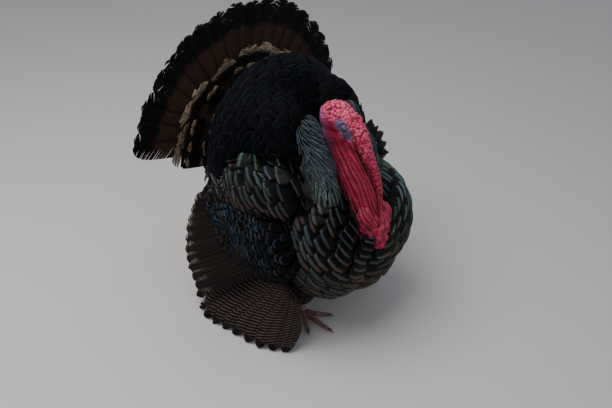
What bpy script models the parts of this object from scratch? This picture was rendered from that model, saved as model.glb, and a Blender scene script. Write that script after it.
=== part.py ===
"""A life-size displaying tom turkey, as a still museum model.

Frame: metres, +Z up, the bird faces -Y, its left side is +X, and it stands on z = 0.
Every form is a closed mesh worked out from named sizes. A body mass is the smooth union of a
few ellipsoids, found along rays from one eye point. A neck, snood, leg or toe is an oval
section carried along a path. A tail, covert bed or wing is a sheet of quills, with one rounded
lobe for each feather. Where forms meet, one is carved back to leave a clearance of GAP.
"""

import math

import bmesh
import bpy
import numpy as np
from mathutils import Matrix, Vector

# ---------------------------------------------------------------- driving dimensions
GAP = 0.0004  # clearance between neighbouring solids
FLOOR = 0.0  # the level of the soles and of the wing tips

# Body masses, as (centre, half-axes). Pairs are given for the right side, where x is below 0.
TRUNK_EYE = (0.0, 0.0, 0.33)
TRUNK_MASSES = (
    ((0.0, 0.040, 0.335), (0.195, 0.225, 0.200)),
    ((0.0, 0.130, 0.330), (0.130, 0.145, 0.140)),
    ((0.0, -0.152, 0.285), (0.105, 0.130, 0.150)),
)
TRUNK_PAIRS = (((-0.076, -0.138, 0.302), (0.118, 0.127, 0.160)),)
MANTLE_EYE = (0.0, 0.040, 0.42)
MANTLE_MASSES = (((0.0, 0.090, 0.460), (0.225, 0.130, 0.240)),)
MANTLE_PAIRS = (((-0.088, 0.000, 0.455), (0.095, 0.108, 0.190)),)
RUFF_EYE = (-0.088, -0.105, 0.490)
RUFF_MASSES = (
    ((-0.082, -0.077, 0.552), (0.033, 0.050, 0.083)),
    ((-0.087, -0.113, 0.497), (0.034, 0.057, 0.078)),
    ((-0.095, -0.146, 0.450), (0.034, 0.046, 0.056)),
)
SCAPULAR_EYE = (-0.180, -0.020, 0.445)
SCAPULAR_MASSES = (
    ((-0.158, -0.070, 0.458), (0.052, 0.070, 0.078)),
    ((-0.180, 0.010, 0.445), (0.050, 0.085, 0.085)),
    ((-0.186, 0.085, 0.410), (0.042, 0.075, 0.074)),
)
LEFT_SHOULDER_SHIFT = (-0.014, 0.004, -0.014)  # the left shoulder is held in and low
LEFT_WING_SHIFT = (-0.014, 0.030, 0.0)  # and the left wing trails a little
WING_PAD_EYE = (-0.200, 0.000, 0.320)
WING_PAD_MASSES = (
    ((-0.195, 0.045, 0.330), (0.045, 0.145, 0.105)),
    ((-0.200, -0.070, 0.310), (0.042, 0.095, 0.095)),
)
THIGH_CENTRE = (-0.102, -0.055, 0.142)
THIGH_AXES = (0.058, 0.072, 0.084)
VENT_EYE = (0.0, 0.280, 0.420)
VENT_MASSES = (
    ((0.0, 0.255, 0.450), (0.150, 0.060, 0.105)),
    ((0.0, 0.265, 0.360), (0.120, 0.075, 0.110)),
)
HEAD_EYE = (0.0, -0.108, 0.590)
HEAD_MASSES = (
    ((0.0, -0.102, 0.600), (0.036, 0.047, 0.041)),
    ((0.0, -0.138, 0.592), (0.027, 0.031, 0.036)),
    ((0.0, -0.108, 0.567), (0.034, 0.044, 0.034)),
)
CARUNCLE_EYE = (-0.012, -0.248, 0.360)
CARUNCLE_MASSES = (
    ((-0.012, -0.247, 0.368), (0.036, 0.027, 0.036)),
    ((-0.018, -0.256, 0.338), (0.028, 0.023, 0.026)),
    ((-0.018, -0.262, 0.322), (0.017, 0.016, 0.016)),
    ((-0.046, -0.232, 0.390), (0.019, 0.022, 0.034)),
    ((0.016, -0.241, 0.386), (0.018, 0.021, 0.031)),
    ((-0.046, -0.240, 0.352), (0.019, 0.020, 0.024)),
    ((0.006, -0.248, 0.350), (0.019, 0.021, 0.024)),
)

# Paths of the bare neck, the snood, the bill and the eye.
NECK_PATH = (
    (0.0, -0.106, 0.560),
    (0.0, -0.139, 0.515),
    (-0.005, -0.176, 0.460),
    (-0.012, -0.206, 0.398),
    (-0.018, -0.238, 0.325),
)
NECK_HALF_WIDTH = (0.031, 0.037, 0.045, 0.048, 0.030)
NECK_HALF_DEPTH = (0.036, 0.045, 0.049, 0.046, 0.026)
SNOOD_PATH = (
    (0.0, -0.150, 0.616),
    (-0.001, -0.174, 0.592),
    (0.002, -0.196, 0.543),
    (0.008, -0.217, 0.489),
    (0.011, -0.236, 0.436),
)
SNOOD_RADIUS = (0.011, 0.0145, 0.0135, 0.0110, 0.0060)
BILL_ROOT = (0.0, -0.146, 0.580)
BILL_TIP = (0.0, -0.178, 0.532)
BILL_HALF_WIDTH = 0.0095
BILL_HALF_DEPTH = 0.0070
EYE_RADIUS = 0.0070
EYE_PLACE = (-0.0242, -0.1410, 0.5975)

# Tail: layers of quills around one root, in planes that lean a little towards the head.
TAIL_ROOT = (0.0, 0.225, 0.436)
TAIL_LEAN = math.radians(2.9)
TAIL_HUB = 0.020
TAIL_SEAT = -0.0345  # depth of the plane where the body ends and the quill layers begin
TAIL_SEAT_DROP = 0.030  # how far below the root that plane reaches
TAIL_LAYERS = {
    # name: (radius, half spread in degrees, quills, back depth, hub thickness, rim thickness)
    "tail_fan": (0.383, 77.0, 18, 0.0015, 0.0060, 0.0016),
    "tail_coverts_long": (0.268, 82.0, 14, -0.0050, 0.0130, 0.0030),
    "tail_coverts_short": (0.226, 98.0, 12, -0.0185, 0.0155, 0.0030),
}
QUILL_SCALLOP = 0.040  # how far a lobe's edges fall short of its tip, as a share of its length

# Wing: right side, feathers run from the roots to the tips.
SECONDARY_ROOTS = ((-0.200, 0.100, 0.400), (-0.212, 0.000, 0.350), (-0.216, -0.110, 0.295))
SECONDARY_TIPS = (
    (-0.224, 0.185, 0.345),
    (-0.243, 0.222, 0.240),
    (-0.260, 0.214, 0.140),
    (-0.277, 0.158, 0.078),
)
SECONDARY_QUILLS = 9
PRIMARY_ROOTS = ((-0.205, -0.085, 0.275), (-0.204, -0.125, 0.240), (-0.198, -0.155, 0.200))
PRIMARY_TIPS = (
    (-0.255, 0.215, 0.030),
    (-0.288, 0.130, -0.006),
    (-0.278, 0.040, -0.006),
    (-0.262, -0.065, -0.006),
    (-0.214, -0.145, -0.004),
)
PRIMARY_QUILLS = 9
WING_THICKNESS = (0.0040, 0.0018)  # at the roots and at the tips

# Legs: where each foot stands, and its toes as (name, heading in degrees, length).
FEET = {"right": (-0.084, -0.067), "left": (0.070, 0.030)}
HOCK_HEIGHT = 0.150
HOCK_BACK = 0.052
SHANK_RADIUS = 0.0080
SPUR_HEIGHT = 0.040
SPUR_LENGTH = 0.018
SPUR_RADIUS = 0.0045
TOE_RADIUS = 0.0075
ANKLE_HEIGHT = 0.0110  # heights of the toe's axis, low enough to flatten its pad on the floor
TOE_HEIGHT = 0.0048
TOE_TIP_HEIGHT = 0.0036
CLAW_LENGTH = 0.017
CLAW_RADIUS = 0.0042
TOES = (("middle", 0.0, 0.098), ("inner", 34.0, 0.072), ("outer", -36.0, 0.072), ("back", 172.0, 0.038))

# Which form gives way to which where they meet, in the order in which they are carved, so that
# a form is still whole whenever it cuts another. SIDE stands for right and left.
GIVES_WAY = (
    ("ruff_SIDE", ("neck", "head", "trunk", "mantle")),
    ("mantle", ("neck", "head", "trunk", "scapulars_right", "scapulars_left")),
    ("mantle", ("wing_coverts_right", "wing_coverts_left")),
    ("mantle", ("wing_secondaries_right", "wing_secondaries_left")),
    ("scapulars_SIDE", ("trunk", "wing_coverts_SIDE", "wing_secondaries_SIDE")),
    ("wing_primaries_SIDE", ("wing_secondaries_SIDE", "wing_coverts_SIDE", "trunk")),
    ("wing_secondaries_SIDE", ("wing_coverts_SIDE", "trunk")),
    ("wing_coverts_SIDE", ("trunk",)),
    ("claw_middle_SIDE", ("toe_middle_SIDE",)),
    ("claw_inner_SIDE", ("toe_inner_SIDE",)),
    ("claw_outer_SIDE", ("toe_outer_SIDE",)),
    ("claw_back_SIDE", ("toe_back_SIDE",)),
    ("toe_back_SIDE", ("toe_middle_SIDE", "toe_inner_SIDE", "toe_outer_SIDE", "shank_SIDE")),
    ("toe_outer_SIDE", ("toe_middle_SIDE", "toe_inner_SIDE", "shank_SIDE")),
    ("toe_inner_SIDE", ("toe_middle_SIDE", "shank_SIDE")),
    ("toe_middle_SIDE", ("shank_SIDE",)),
    ("spur_SIDE", ("shank_SIDE",)),
    ("shank_SIDE", ("thigh_SIDE",)),
    ("thigh_SIDE", ("trunk",)),
    ("tail_under", ("trunk",)),
    ("caruncles", ("trunk", "neck")),
    ("trunk", ("neck",)),
    ("bill_upper", ("head", "neck", "snood")),
    ("bill_lower", ("head", "neck", "snood")),
    ("snood", ("head", "neck")),
    ("neck", ("head",)),
    ("head", ("eye_right", "eye_left")),
)

# Colours: base colour, roughness, metallic.
FINISHES = {
    "dark_feather": ((0.022, 0.024, 0.028), 0.45, 0.15),
    "brown_feather": ((0.060, 0.040, 0.032), 0.60, 0.0),
    "barred_feather": ((0.110, 0.085, 0.070), 0.60, 0.0),
    "bare_skin": ((0.520, 0.060, 0.095), 0.50, 0.0),
    "horn": ((0.190, 0.130, 0.100), 0.40, 0.0),
    "scaly_leg": ((0.330, 0.190, 0.160), 0.55, 0.0),
    "eye": ((0.020, 0.012, 0.008), 0.08, 0.0),
}


# ---------------------------------------------------------------- mathematics
def mirrored(masses):
    """The same ellipsoids on the other side of the bird."""
    return tuple(((-centre[0], centre[1], centre[2]), axes) for centre, axes in masses)


def smooth_curve(points, count):
    """A Catmull-Rom curve through the points, sampled evenly in its parameter."""
    points = np.asarray(points, dtype=float)
    padded = np.concatenate([[2 * points[0] - points[1]], points, [2 * points[-1] - points[-2]]])
    place = np.linspace(0.0, len(points) - 1.0, count)
    index = np.minimum(place.astype(int), len(points) - 2)
    t = (place - index).reshape((-1,) + (1,) * (points.ndim - 1))
    a, b, c, d = (padded[index + k] for k in range(4))
    cubic = (3 * (b - c) + d - a) * t**3
    square = (2 * a - 5 * b + 4 * c - d) * t**2
    return 0.5 * (2 * b + (c - a) * t + square + cubic)


def smooth_level(points, masses, hardness):
    """Below 0 inside the smooth union of the ellipsoids and above 0 outside it."""
    total = np.zeros(points.shape[:-1])
    for centre, axes in masses:
        reach = np.linalg.norm((points - np.array(centre)) / np.array(axes), axis=-1)
        total += np.exp(-hardness * (reach - 1.0))
    return -np.log(np.maximum(total, 1e-300)) / hardness


def grid_faces(rows, columns, wrap):
    """Quads over a rows-by-columns grid of points, joined round when wrap is set."""
    row = np.arange(rows - 1)[:, None] * columns
    column = np.arange(columns if wrap else columns - 1)[None, :]
    right = (column + 1) % columns
    corners = (row + column, row + right, row + columns + right, row + columns + column)
    return np.stack([np.broadcast_to(c, (rows - 1, column.size)) for c in corners], -1).reshape(-1, 4)


# ---------------------------------------------------------------- Blender objects
def finish(name):
    """The Principled material of one finish, made once."""
    material = bpy.data.materials.get(name)
    if material is None:
        colour, roughness, metallic = FINISHES[name]
        material = bpy.data.materials.new(name)
        material.use_nodes = True
        shader = material.node_tree.nodes["Principled BSDF"]
        shader.inputs["Base Color"].default_value = (*colour, 1.0)
        shader.inputs["Roughness"].default_value = roughness
        shader.inputs["Metallic"].default_value = metallic
        material.diffuse_color = (*colour, 1.0)
    return material


def closed_object(name, vertices, faces, finish_name):
    """A named object from vertices and faces, with its faces turned outwards."""
    mesh = bpy.data.meshes.new(name)
    mesh.from_pydata([tuple(v) for v in np.asarray(vertices, float)], [], [tuple(f) for f in faces])
    shape = bmesh.new()
    shape.from_mesh(mesh)
    bmesh.ops.recalc_face_normals(shape, faces=shape.faces)
    if shape.calc_volume(signed=True) < 0.0:
        bmesh.ops.reverse_faces(shape, faces=shape.faces)
    bmesh.ops.triangulate(shape, faces=shape.faces)
    shape.to_mesh(mesh)
    shape.free()
    mesh.materials.append(finish(finish_name))
    mesh.shade_smooth()
    part = bpy.data.objects.new(name, mesh)
    bpy.context.scene.collection.objects.link(part)
    return part


def soft_mass(name, eye, masses, finish_name, rings=16, sides=24, hardness=14.0):
    """The surface of a smooth union, found by bisection along rays from the eye point."""
    polar = np.linspace(0.0, math.pi, rings + 1)[1:-1][:, None]
    turn = np.linspace(0.0, 2.0 * math.pi, sides, endpoint=False)[None, :]
    across = np.stack([np.sin(polar) * np.cos(turn), np.sin(polar) * np.sin(turn)], -1)
    along = np.broadcast_to(np.cos(polar), across.shape[:2])[..., None]
    rays = np.concatenate([across, along], -1).reshape(-1, 3)
    rays = np.concatenate([rays, [(0.0, 0.0, 1.0), (0.0, 0.0, -1.0)]])
    steps = np.linspace(0.0, 0.6, 241)
    level = smooth_level(np.array(eye) + rays[:, None, :] * steps[None, :, None], masses, hardness)
    last_inside = level.shape[1] - 1 - np.argmax(level[:, ::-1] < 0.0, axis=1)
    near, far = steps[last_inside], steps[last_inside] + steps[1]
    for _ in range(20):
        middle = 0.5 * (near + far)
        inside = smooth_level(np.array(eye) + rays * middle[:, None], masses, hardness) < 0.0
        near, far = np.where(inside, middle, near), np.where(inside, far, middle)
    vertices = np.array(eye) + rays * near[:, None]
    faces = [tuple(f) for f in grid_faces(rings - 1, sides, True)]
    top, bottom = len(vertices) - 2, len(vertices) - 1
    last_ring = (rings - 2) * sides
    faces += [(top, (k + 1) % sides, k) for k in range(sides)]
    faces += [(bottom, last_ring + k, last_ring + (k + 1) % sides) for k in range(sides)]
    return closed_object(name, vertices, faces, finish_name)


def oval_tube(name, path, half_width, half_depth, finish_name, rows=9, sides=10, floor=None):
    """An oval section along a smooth path, with rounded ends; its width lies across the bird."""
    count = rows + 4
    place = np.concatenate([[0.0, 0.0], np.linspace(0.0, 1.0, rows), [1.0, 1.0]])
    fine = smooth_curve(path, 101)
    centre = fine[np.rint(place * 100).astype(int)]
    tangent = np.gradient(fine, axis=0)[np.rint(place * 100).astype(int)]
    tangent /= np.linalg.norm(tangent, axis=1)[:, None]
    width = smooth_curve(np.asarray(half_width, float), 101)[np.rint(place * 100).astype(int)]
    depth = smooth_curve(np.asarray(half_depth, float), 101)[np.rint(place * 100).astype(int)]
    bulge = np.array([1.0, 0.75] + [0.0] * rows + [0.75, 1.0])
    shrink = np.sqrt(1.0 - bulge**2)
    side = np.cross(tangent, (0.0, 0.0, 1.0) if abs(tangent[0, 2]) < 0.8 else (0.0, 1.0, 0.0))
    side /= np.linalg.norm(side, axis=1)[:, None]
    front = np.cross(side, tangent)
    push = np.concatenate([[-1, -1], np.zeros(rows), [1, 1]]) * bulge * depth
    centre = centre + tangent * push[:, None]
    turn = np.linspace(0.0, 2.0 * math.pi, sides, endpoint=False)
    ring = side[:, None] * (width * shrink)[:, None, None] * np.cos(turn)[None, :, None]
    ring = ring + front[:, None] * (depth * shrink)[:, None, None] * np.sin(turn)[None, :, None]
    body = (centre[:, None] + ring)[1:-1].reshape(-1, 3)
    vertices = np.concatenate([body, centre[:1], centre[-1:]])
    if floor is not None:
        vertices[:, 2] = np.maximum(vertices[:, 2], floor)
    faces = [tuple(f) for f in grid_faces(count - 2, sides, True)]
    start, end = len(vertices) - 2, len(vertices) - 1
    last_ring = (count - 3) * sides
    faces += [(start, (k + 1) % sides, k) for k in range(sides)]
    faces += [(end, last_ring + k, last_ring + (k + 1) % sides) for k in range(sides)]
    return closed_object(name, vertices, faces, finish_name)


def quill_sheet(name, roots, tips, quills, thickness, finish_name, rows=1, bow=(0.0, 0.0, 0.0), lobe=3):
    """A sheet of quills side by side: each lobe's tip is rounded, and the edges fall short.

    A point is root + (tip - root) * reach, where reach is 1 at a lobe's middle and less by
    QUILL_SCALLOP at its edges; bow lifts the middle of the sheet, as 4 v (1 - v), and the
    front face stands off the back face by the thickness, which thins from root to tip.
    """
    columns = quills * lobe + 1
    root = smooth_curve(roots, columns)
    tip = smooth_curve(tips, columns)
    across = (np.arange(columns) % lobe) / lobe * 2.0 - 1.0
    across[-1] = -1.0
    reach = 1.0 - QUILL_SCALLOP * np.abs(across) ** 4
    v = np.linspace(0.0, 1.0, rows + 1)[:, None]
    spot = root[None] + (tip - root)[None] * (v * reach[None])[..., None]
    spot = spot + (4.0 * v * (1.0 - v))[..., None] * np.array(bow)
    along = np.gradient(spot, axis=0)
    over = np.gradient(spot, axis=1)
    normal = np.cross(over, along)
    normal /= np.linalg.norm(normal, axis=2)[..., None]
    depth = (thickness[0] + (thickness[1] - thickness[0]) * v)[..., None]
    front = spot + normal * depth
    vertices = np.concatenate([spot.reshape(-1, 3), front.reshape(-1, 3)])
    one_side = grid_faces(rows + 1, columns, False)
    offset = spot.shape[0] * columns
    faces = [tuple(f) for f in one_side] + [tuple(f[::-1] + offset) for f in one_side]
    rim = list(range(columns))
    rim += [r * columns + columns - 1 for r in range(1, rows + 1)]
    rim += [rows * columns + c for c in range(columns - 2, -1, -1)]
    rim += [r * columns for r in range(rows - 1, 0, -1)]
    faces += [(a, b, b + offset, a + offset) for a, b in zip(rim, rim[1:] + rim[:1])]
    return closed_object(name, vertices, faces, finish_name)


def keep_largest(mesh):
    """Deletes every loose piece of a mesh but the one with the most faces."""
    shape = bmesh.new()
    shape.from_mesh(mesh)
    shape.faces.ensure_lookup_table()
    seen, islands = set(), []
    for first in shape.faces:
        if first.index in seen:
            continue
        island, queue = [], [first]
        seen.add(first.index)
        while queue:
            face = queue.pop()
            island.append(face)
            for edge in face.edges:
                for other in edge.link_faces:
                    if other.index not in seen:
                        seen.add(other.index)
                        queue.append(other)
        islands.append(island)
    islands.sort(key=len, reverse=True)
    loose = [face for island in islands[1:] for face in island]
    if loose:
        bmesh.ops.delete(shape, geom=loose, context="FACES")
    shape.to_mesh(mesh)
    shape.free()


def grown_copy(source, margin):
    """A copy of an object's mesh with every face moved outwards by the margin."""
    shape = bmesh.new()
    shape.from_mesh(source.data)
    shape.normal_update()
    moves = [(v, v.normal * margin * min(v.calc_shell_factor(), 2.0)) for v in shape.verts]
    for vertex, move in moves:
        vertex.co += move
    mesh = bpy.data.meshes.new(source.name + "_cutter")
    shape.to_mesh(mesh)
    shape.free()
    cutter = bpy.data.objects.new(mesh.name, mesh)
    bpy.context.scene.collection.objects.link(cutter)
    return cutter


def carve(target, *neighbours, margin=GAP):
    """Cuts the target back wherever it comes within the margin of its neighbours."""
    for neighbour in neighbours:
        cutter = grown_copy(neighbour, margin)
        cut = target.modifiers.new("cut", "BOOLEAN")
        cut.operation = "DIFFERENCE"
        cut.solver = "EXACT"
        cut.object = cutter
        bpy.context.view_layer.update()
        evaluated = target.evaluated_get(bpy.context.evaluated_depsgraph_get())
        mesh = bpy.data.meshes.new_from_object(evaluated)
        target.modifiers.clear()
        target.data = mesh
        bpy.data.objects.remove(cutter)
        keep_largest(mesh)
        mesh.name = target.name


def cut_by_plane(target, point, normal):
    """Takes away what lies on the side that the normal points to, and closes the cut."""
    shape = bmesh.new()
    shape.from_mesh(target.data)
    everything = shape.verts[:] + shape.edges[:] + shape.faces[:]
    bmesh.ops.bisect_plane(
        shape, geom=everything, dist=1e-6, plane_co=Vector(point), plane_no=Vector(normal), clear_outer=True
    )
    border = [edge for edge in shape.edges if edge.is_boundary]
    bmesh.ops.holes_fill(shape, edges=border, sides=0)
    bmesh.ops.recalc_face_normals(shape, faces=shape.faces)
    shape.to_mesh(target.data)
    shape.free()


def mirror_copy(source, name, shift=(0.0, 0.0, 0.0)):
    """The other side's twin of an object, moved by the shift."""
    mesh = source.data.copy()
    mesh.name = name
    shape = bmesh.new()
    shape.from_mesh(mesh)
    for vertex in shape.verts:
        vertex.co.x = -vertex.co.x
        vertex.co += Vector(shift)
    bmesh.ops.reverse_faces(shape, faces=shape.faces)
    shape.to_mesh(mesh)
    shape.free()
    twin = bpy.data.objects.new(name, mesh)
    bpy.context.scene.collection.objects.link(twin)
    return twin


# ---------------------------------------------------------------- tail
def tail_axes():
    """The tail's frame: up along the middle quill, and back away from the head."""
    up = np.array((0.0, -math.sin(TAIL_LEAN), math.cos(TAIL_LEAN)))
    back = np.array((0.0, math.cos(TAIL_LEAN), math.sin(TAIL_LEAN)))
    return up, back


def make_tail_layer(name):
    """One layer of quills fanned around the tail's root."""
    radius, half_spread, quills, depth, hub_thickness, rim_thickness = TAIL_LAYERS[name]
    up, back = tail_axes()
    angle = np.radians(np.linspace(-half_spread, half_spread, quills * 2 + 1))[:, None]
    ray = np.sin(angle) * np.array((1.0, 0.0, 0.0)) + np.cos(angle) * up
    hub = np.array(TAIL_ROOT) + back * depth
    finish_name = "brown_feather" if name == "tail_fan" else "barred_feather"
    thickness = (hub_thickness, rim_thickness)
    lobe = 4 if name == "tail_fan" else 3
    quill_sheet(name, hub + ray * TAIL_HUB, hub + ray * radius, quills, thickness, finish_name, lobe=lobe)


def make_tail():
    """The three quill layers, and the soft feathers behind and below them."""
    for name in TAIL_LAYERS:
        make_tail_layer(name)
    under = soft_mass("tail_under", VENT_EYE, VENT_MASSES, "barred_feather", rings=9, sides=14)
    back = tail_axes()[1]
    cut_by_plane(under, np.array(TAIL_ROOT) + back * (0.0015 + GAP), -back)


def seat_for_tail(body):
    """Cuts the body off on the plane where the quill layers start, above the vent."""
    up, back = tail_axes()
    corner = np.array(TAIL_ROOT) + back * (TAIL_SEAT - GAP) - up * TAIL_SEAT_DROP
    wide = np.array((0.5, 0.0, 0.0))
    square = [corner - wide, corner + wide, corner + wide + up * 0.5, corner - wide + up * 0.5]
    vertices = square + [spot + back * 0.3 for spot in square]
    faces = [(0, 1, 2, 3), (4, 5, 6, 7), (0, 1, 5, 4), (1, 2, 6, 5), (2, 3, 7, 6), (3, 0, 4, 7)]
    box = closed_object("seat", vertices, faces, "dark_feather")
    carve(body, box, margin=0.0)
    bpy.data.objects.remove(box)


# ---------------------------------------------------------------- body
def make_body():
    """Trunk, mantle and the two ruffs beside the neck."""
    masses = TRUNK_MASSES + TRUNK_PAIRS + mirrored(TRUNK_PAIRS)
    trunk = soft_mass("trunk", TRUNK_EYE, masses, "dark_feather", rings=14, sides=22)
    seat_for_tail(trunk)
    masses = MANTLE_MASSES + MANTLE_PAIRS + mirrored(MANTLE_PAIRS)
    mantle = soft_mass("mantle", MANTLE_EYE, masses, "dark_feather", rings=12, sides=20)
    seat_for_tail(mantle)
    ruff = soft_mass("ruff_right", RUFF_EYE, RUFF_MASSES, "dark_feather", rings=10, sides=10, hardness=11.0)
    mirror_copy(ruff, "ruff_left", LEFT_SHOULDER_SHIFT)


# ---------------------------------------------------------------- head
def make_head():
    """Bare neck, head, snood, caruncles, bill and eyes."""
    oval_tube("neck", NECK_PATH, NECK_HALF_WIDTH, NECK_HALF_DEPTH, "bare_skin", rows=6, sides=12)
    soft_mass("head", HEAD_EYE, HEAD_MASSES, "bare_skin", rings=9, sides=14)
    oval_tube("snood", SNOOD_PATH, SNOOD_RADIUS, SNOOD_RADIUS, "bare_skin", rows=7, sides=7)
    soft_mass("caruncles", CARUNCLE_EYE, CARUNCLE_MASSES, "bare_skin", rings=10, sides=14, hardness=18.0)
    eye = soft_mass("eye_right", EYE_PLACE, ((EYE_PLACE, (EYE_RADIUS,) * 3),), "eye", rings=6, sides=8)
    mirror_copy(eye, "eye_left")
    root, tip = np.array(BILL_ROOT), np.array(BILL_TIP)
    run = tip - root
    ridge = np.array((0.0, run[2], -run[1])) / np.linalg.norm(run)
    for name, sign, reach in (("bill_upper", 1.0, 1.0), ("bill_lower", -1.0, 0.86)):
        lift = ridge * sign * (BILL_HALF_DEPTH + GAP)
        path = (root + lift, root + run * 0.5 * reach + lift * 0.9, root + run * reach + lift * 0.25)
        width = np.array((1.0, 0.75, 0.2)) * BILL_HALF_WIDTH
        depth = np.array((1.0, 0.80, 0.2)) * BILL_HALF_DEPTH
        half = oval_tube(name, path, width, depth, "horn", rows=4, sides=7)
        cut_by_plane(half, root + ridge * sign * GAP * 0.5, -ridge * sign)


# ---------------------------------------------------------------- wings
def make_wings():
    """Scapulars, covert pad, secondaries and primaries of both wings."""
    soft_mass("wing_coverts_right", WING_PAD_EYE, WING_PAD_MASSES, "dark_feather", rings=8, sides=10)
    soft_mass("scapulars_right", SCAPULAR_EYE, SCAPULAR_MASSES, "dark_feather", rings=8, sides=10)
    quill_sheet(
        "wing_secondaries_right", SECONDARY_ROOTS, SECONDARY_TIPS, SECONDARY_QUILLS, WING_THICKNESS,
        "brown_feather", bow=(-0.012, 0.0, 0.0), rows=2, lobe=2,
    )
    primaries = quill_sheet(
        "wing_primaries_right", PRIMARY_ROOTS, PRIMARY_TIPS, PRIMARY_QUILLS, WING_THICKNESS,
        "barred_feather", bow=(0.010, 0.0, 0.0), rows=2, lobe=2,
    )
    cut_by_plane(primaries, (0.0, 0.0, FLOOR), (0.0, 0.0, -1.0))
    mirror_copy(bpy.data.objects["scapulars_right"], "scapulars_left", LEFT_SHOULDER_SHIFT)
    for layer in ("wing_coverts", "wing_secondaries", "wing_primaries"):
        mirror_copy(bpy.data.objects[f"{layer}_right"], f"{layer}_left", LEFT_WING_SHIFT)


# ---------------------------------------------------------------- legs
def make_leg(side):
    """Thigh, shank, spur, four toes and four claws of one leg."""
    x, y = FEET[side]
    inward = -1.0 if x > 0.0 else 1.0
    from_right_foot = np.array(THIGH_CENTRE) - np.array((*FEET["right"], 0.0))
    thigh = from_right_foot * np.array((inward, 1.0, 1.0)) + np.array((x, y, 0.0))
    soft_mass(f"thigh_{side}", thigh, ((thigh, THIGH_AXES),), "dark_feather", rings=8, sides=12)
    foot = np.array((x, y, ANKLE_HEIGHT))
    hock = np.array((x, y + HOCK_BACK, HOCK_HEIGHT))
    path = (hock, 0.5 * (hock + foot) + np.array((0.0, -0.004, 0.0)), foot)
    radius = np.array((1.25, 1.0, 1.2)) * SHANK_RADIUS
    oval_tube(f"shank_{side}", path, radius, radius, "scaly_leg", rows=5, sides=8, floor=FLOOR)
    base = foot + (hock - foot) * SPUR_HEIGHT / HOCK_HEIGHT
    point = base + np.array((inward * 0.4, 0.9, -0.1)) * SPUR_LENGTH
    radius = np.array((1.0, 0.7, 0.2)) * SPUR_RADIUS
    path = (base, 0.5 * (base + point) - np.array((0.0, 0.0, 0.001)), point)
    oval_tube(f"spur_{side}", path, radius, radius, "horn", rows=3, sides=6)
    for name, heading, length in TOES:
        make_toe(f"{name}_{side}", foot, math.radians(heading) * inward, length)


def make_toe(name, foot, turn, length):
    """One toe along the floor and its claw; a turn of 0 points ahead."""
    ahead = np.array((math.sin(turn), -math.cos(turn), 0.0))
    drop = np.array((0.0, 0.0, 1.0))
    end = foot + ahead * length - drop * (ANKLE_HEIGHT - TOE_TIP_HEIGHT)
    path = (foot, foot + ahead * length * 0.4 - drop * (ANKLE_HEIGHT - TOE_HEIGHT), end)
    radius = np.array((1.0, 0.9, 0.68)) * TOE_RADIUS
    oval_tube(f"toe_{name}", path, radius, radius, "scaly_leg", rows=4, sides=6, floor=FLOOR)
    tip = end + ahead * CLAW_LENGTH - drop * (TOE_TIP_HEIGHT - CLAW_RADIUS * 0.25)
    path = (end, 0.5 * (end + tip) + drop * 0.0022, tip)
    radius = np.array((1.0, 0.8, 0.3)) * CLAW_RADIUS
    oval_tube(f"claw_{name}", path, radius, radius, "horn", rows=2, sides=5, floor=FLOOR)


# ---------------------------------------------------------------- the bird
def main():
    """Builds the bird, parts its forms from each other, and centres it on the origin."""
    for old in list(bpy.data.objects):
        bpy.data.objects.remove(old)
    make_body()
    make_head()
    make_wings()
    make_tail()
    for side in FEET:
        make_leg(side)
    for name, neighbours in GIVES_WAY:
        for side in FEET if "SIDE" in name else ("",):
            target = bpy.data.objects[name.replace("SIDE", side)]
            carve(target, *[bpy.data.objects[other.replace("SIDE", side)] for other in neighbours])
    reach = np.array([vertex.co for part in bpy.data.objects for vertex in part.data.vertices])
    middle = 0.5 * (reach.min(0) + reach.max(0))
    for part in bpy.data.objects:
        part.data.transform(Matrix.Translation((-middle[0], -middle[1], 0.0)))


main()
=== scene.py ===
"""A displaying tom turkey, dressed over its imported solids: skin, feathers, head, feet and eyes."""

import math

import bpy
import numpy as np
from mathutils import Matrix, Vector


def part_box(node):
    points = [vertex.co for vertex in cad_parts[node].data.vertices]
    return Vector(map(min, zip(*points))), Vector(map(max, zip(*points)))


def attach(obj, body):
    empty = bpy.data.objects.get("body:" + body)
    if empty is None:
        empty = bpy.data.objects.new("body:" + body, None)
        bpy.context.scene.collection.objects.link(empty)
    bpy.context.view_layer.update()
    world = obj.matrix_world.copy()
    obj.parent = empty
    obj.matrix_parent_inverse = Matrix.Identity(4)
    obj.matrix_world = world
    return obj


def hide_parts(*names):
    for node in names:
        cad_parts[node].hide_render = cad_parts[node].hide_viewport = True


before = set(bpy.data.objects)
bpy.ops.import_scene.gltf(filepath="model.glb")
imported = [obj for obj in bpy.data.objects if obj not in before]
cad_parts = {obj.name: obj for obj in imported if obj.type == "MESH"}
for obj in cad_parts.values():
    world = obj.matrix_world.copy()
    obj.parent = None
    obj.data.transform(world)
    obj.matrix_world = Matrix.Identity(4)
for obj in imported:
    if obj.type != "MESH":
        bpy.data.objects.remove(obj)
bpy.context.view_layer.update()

# The bird's measures are written from its midline; SHIFT takes them to the frame's origin.
EYE_PLACE = np.array((-0.0242, -0.1410, 0.5975))
EYE_RADIUS = 0.0070
EYE_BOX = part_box("eye_right")
SHIFT = np.array((EYE_BOX[0] + EYE_BOX[1]) * 0.5) - EYE_PLACE

LEFT_SHOULDER_SHIFT = np.array((-0.014, 0.004, -0.014))
LEFT_WING_SHIFT = np.array((-0.014, 0.030, 0.0))
MIRROR = np.array((-1.0, 1.0, 1.0))
FULL_TURN = 2.0 * math.pi
X_AXIS, Y_AXIS, Z_AXIS = np.eye(3)


# ---------------------------------------------------------------- mathematics
def unit(vectors):
    """Vectors divided by their lengths."""
    return vectors / np.maximum(np.linalg.norm(vectors, axis=-1, keepdims=True), 1e-12)


def dot(a, b):
    """The dot product along the last axis, kept as a column."""
    return (a * b).sum(-1, keepdims=True)


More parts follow.
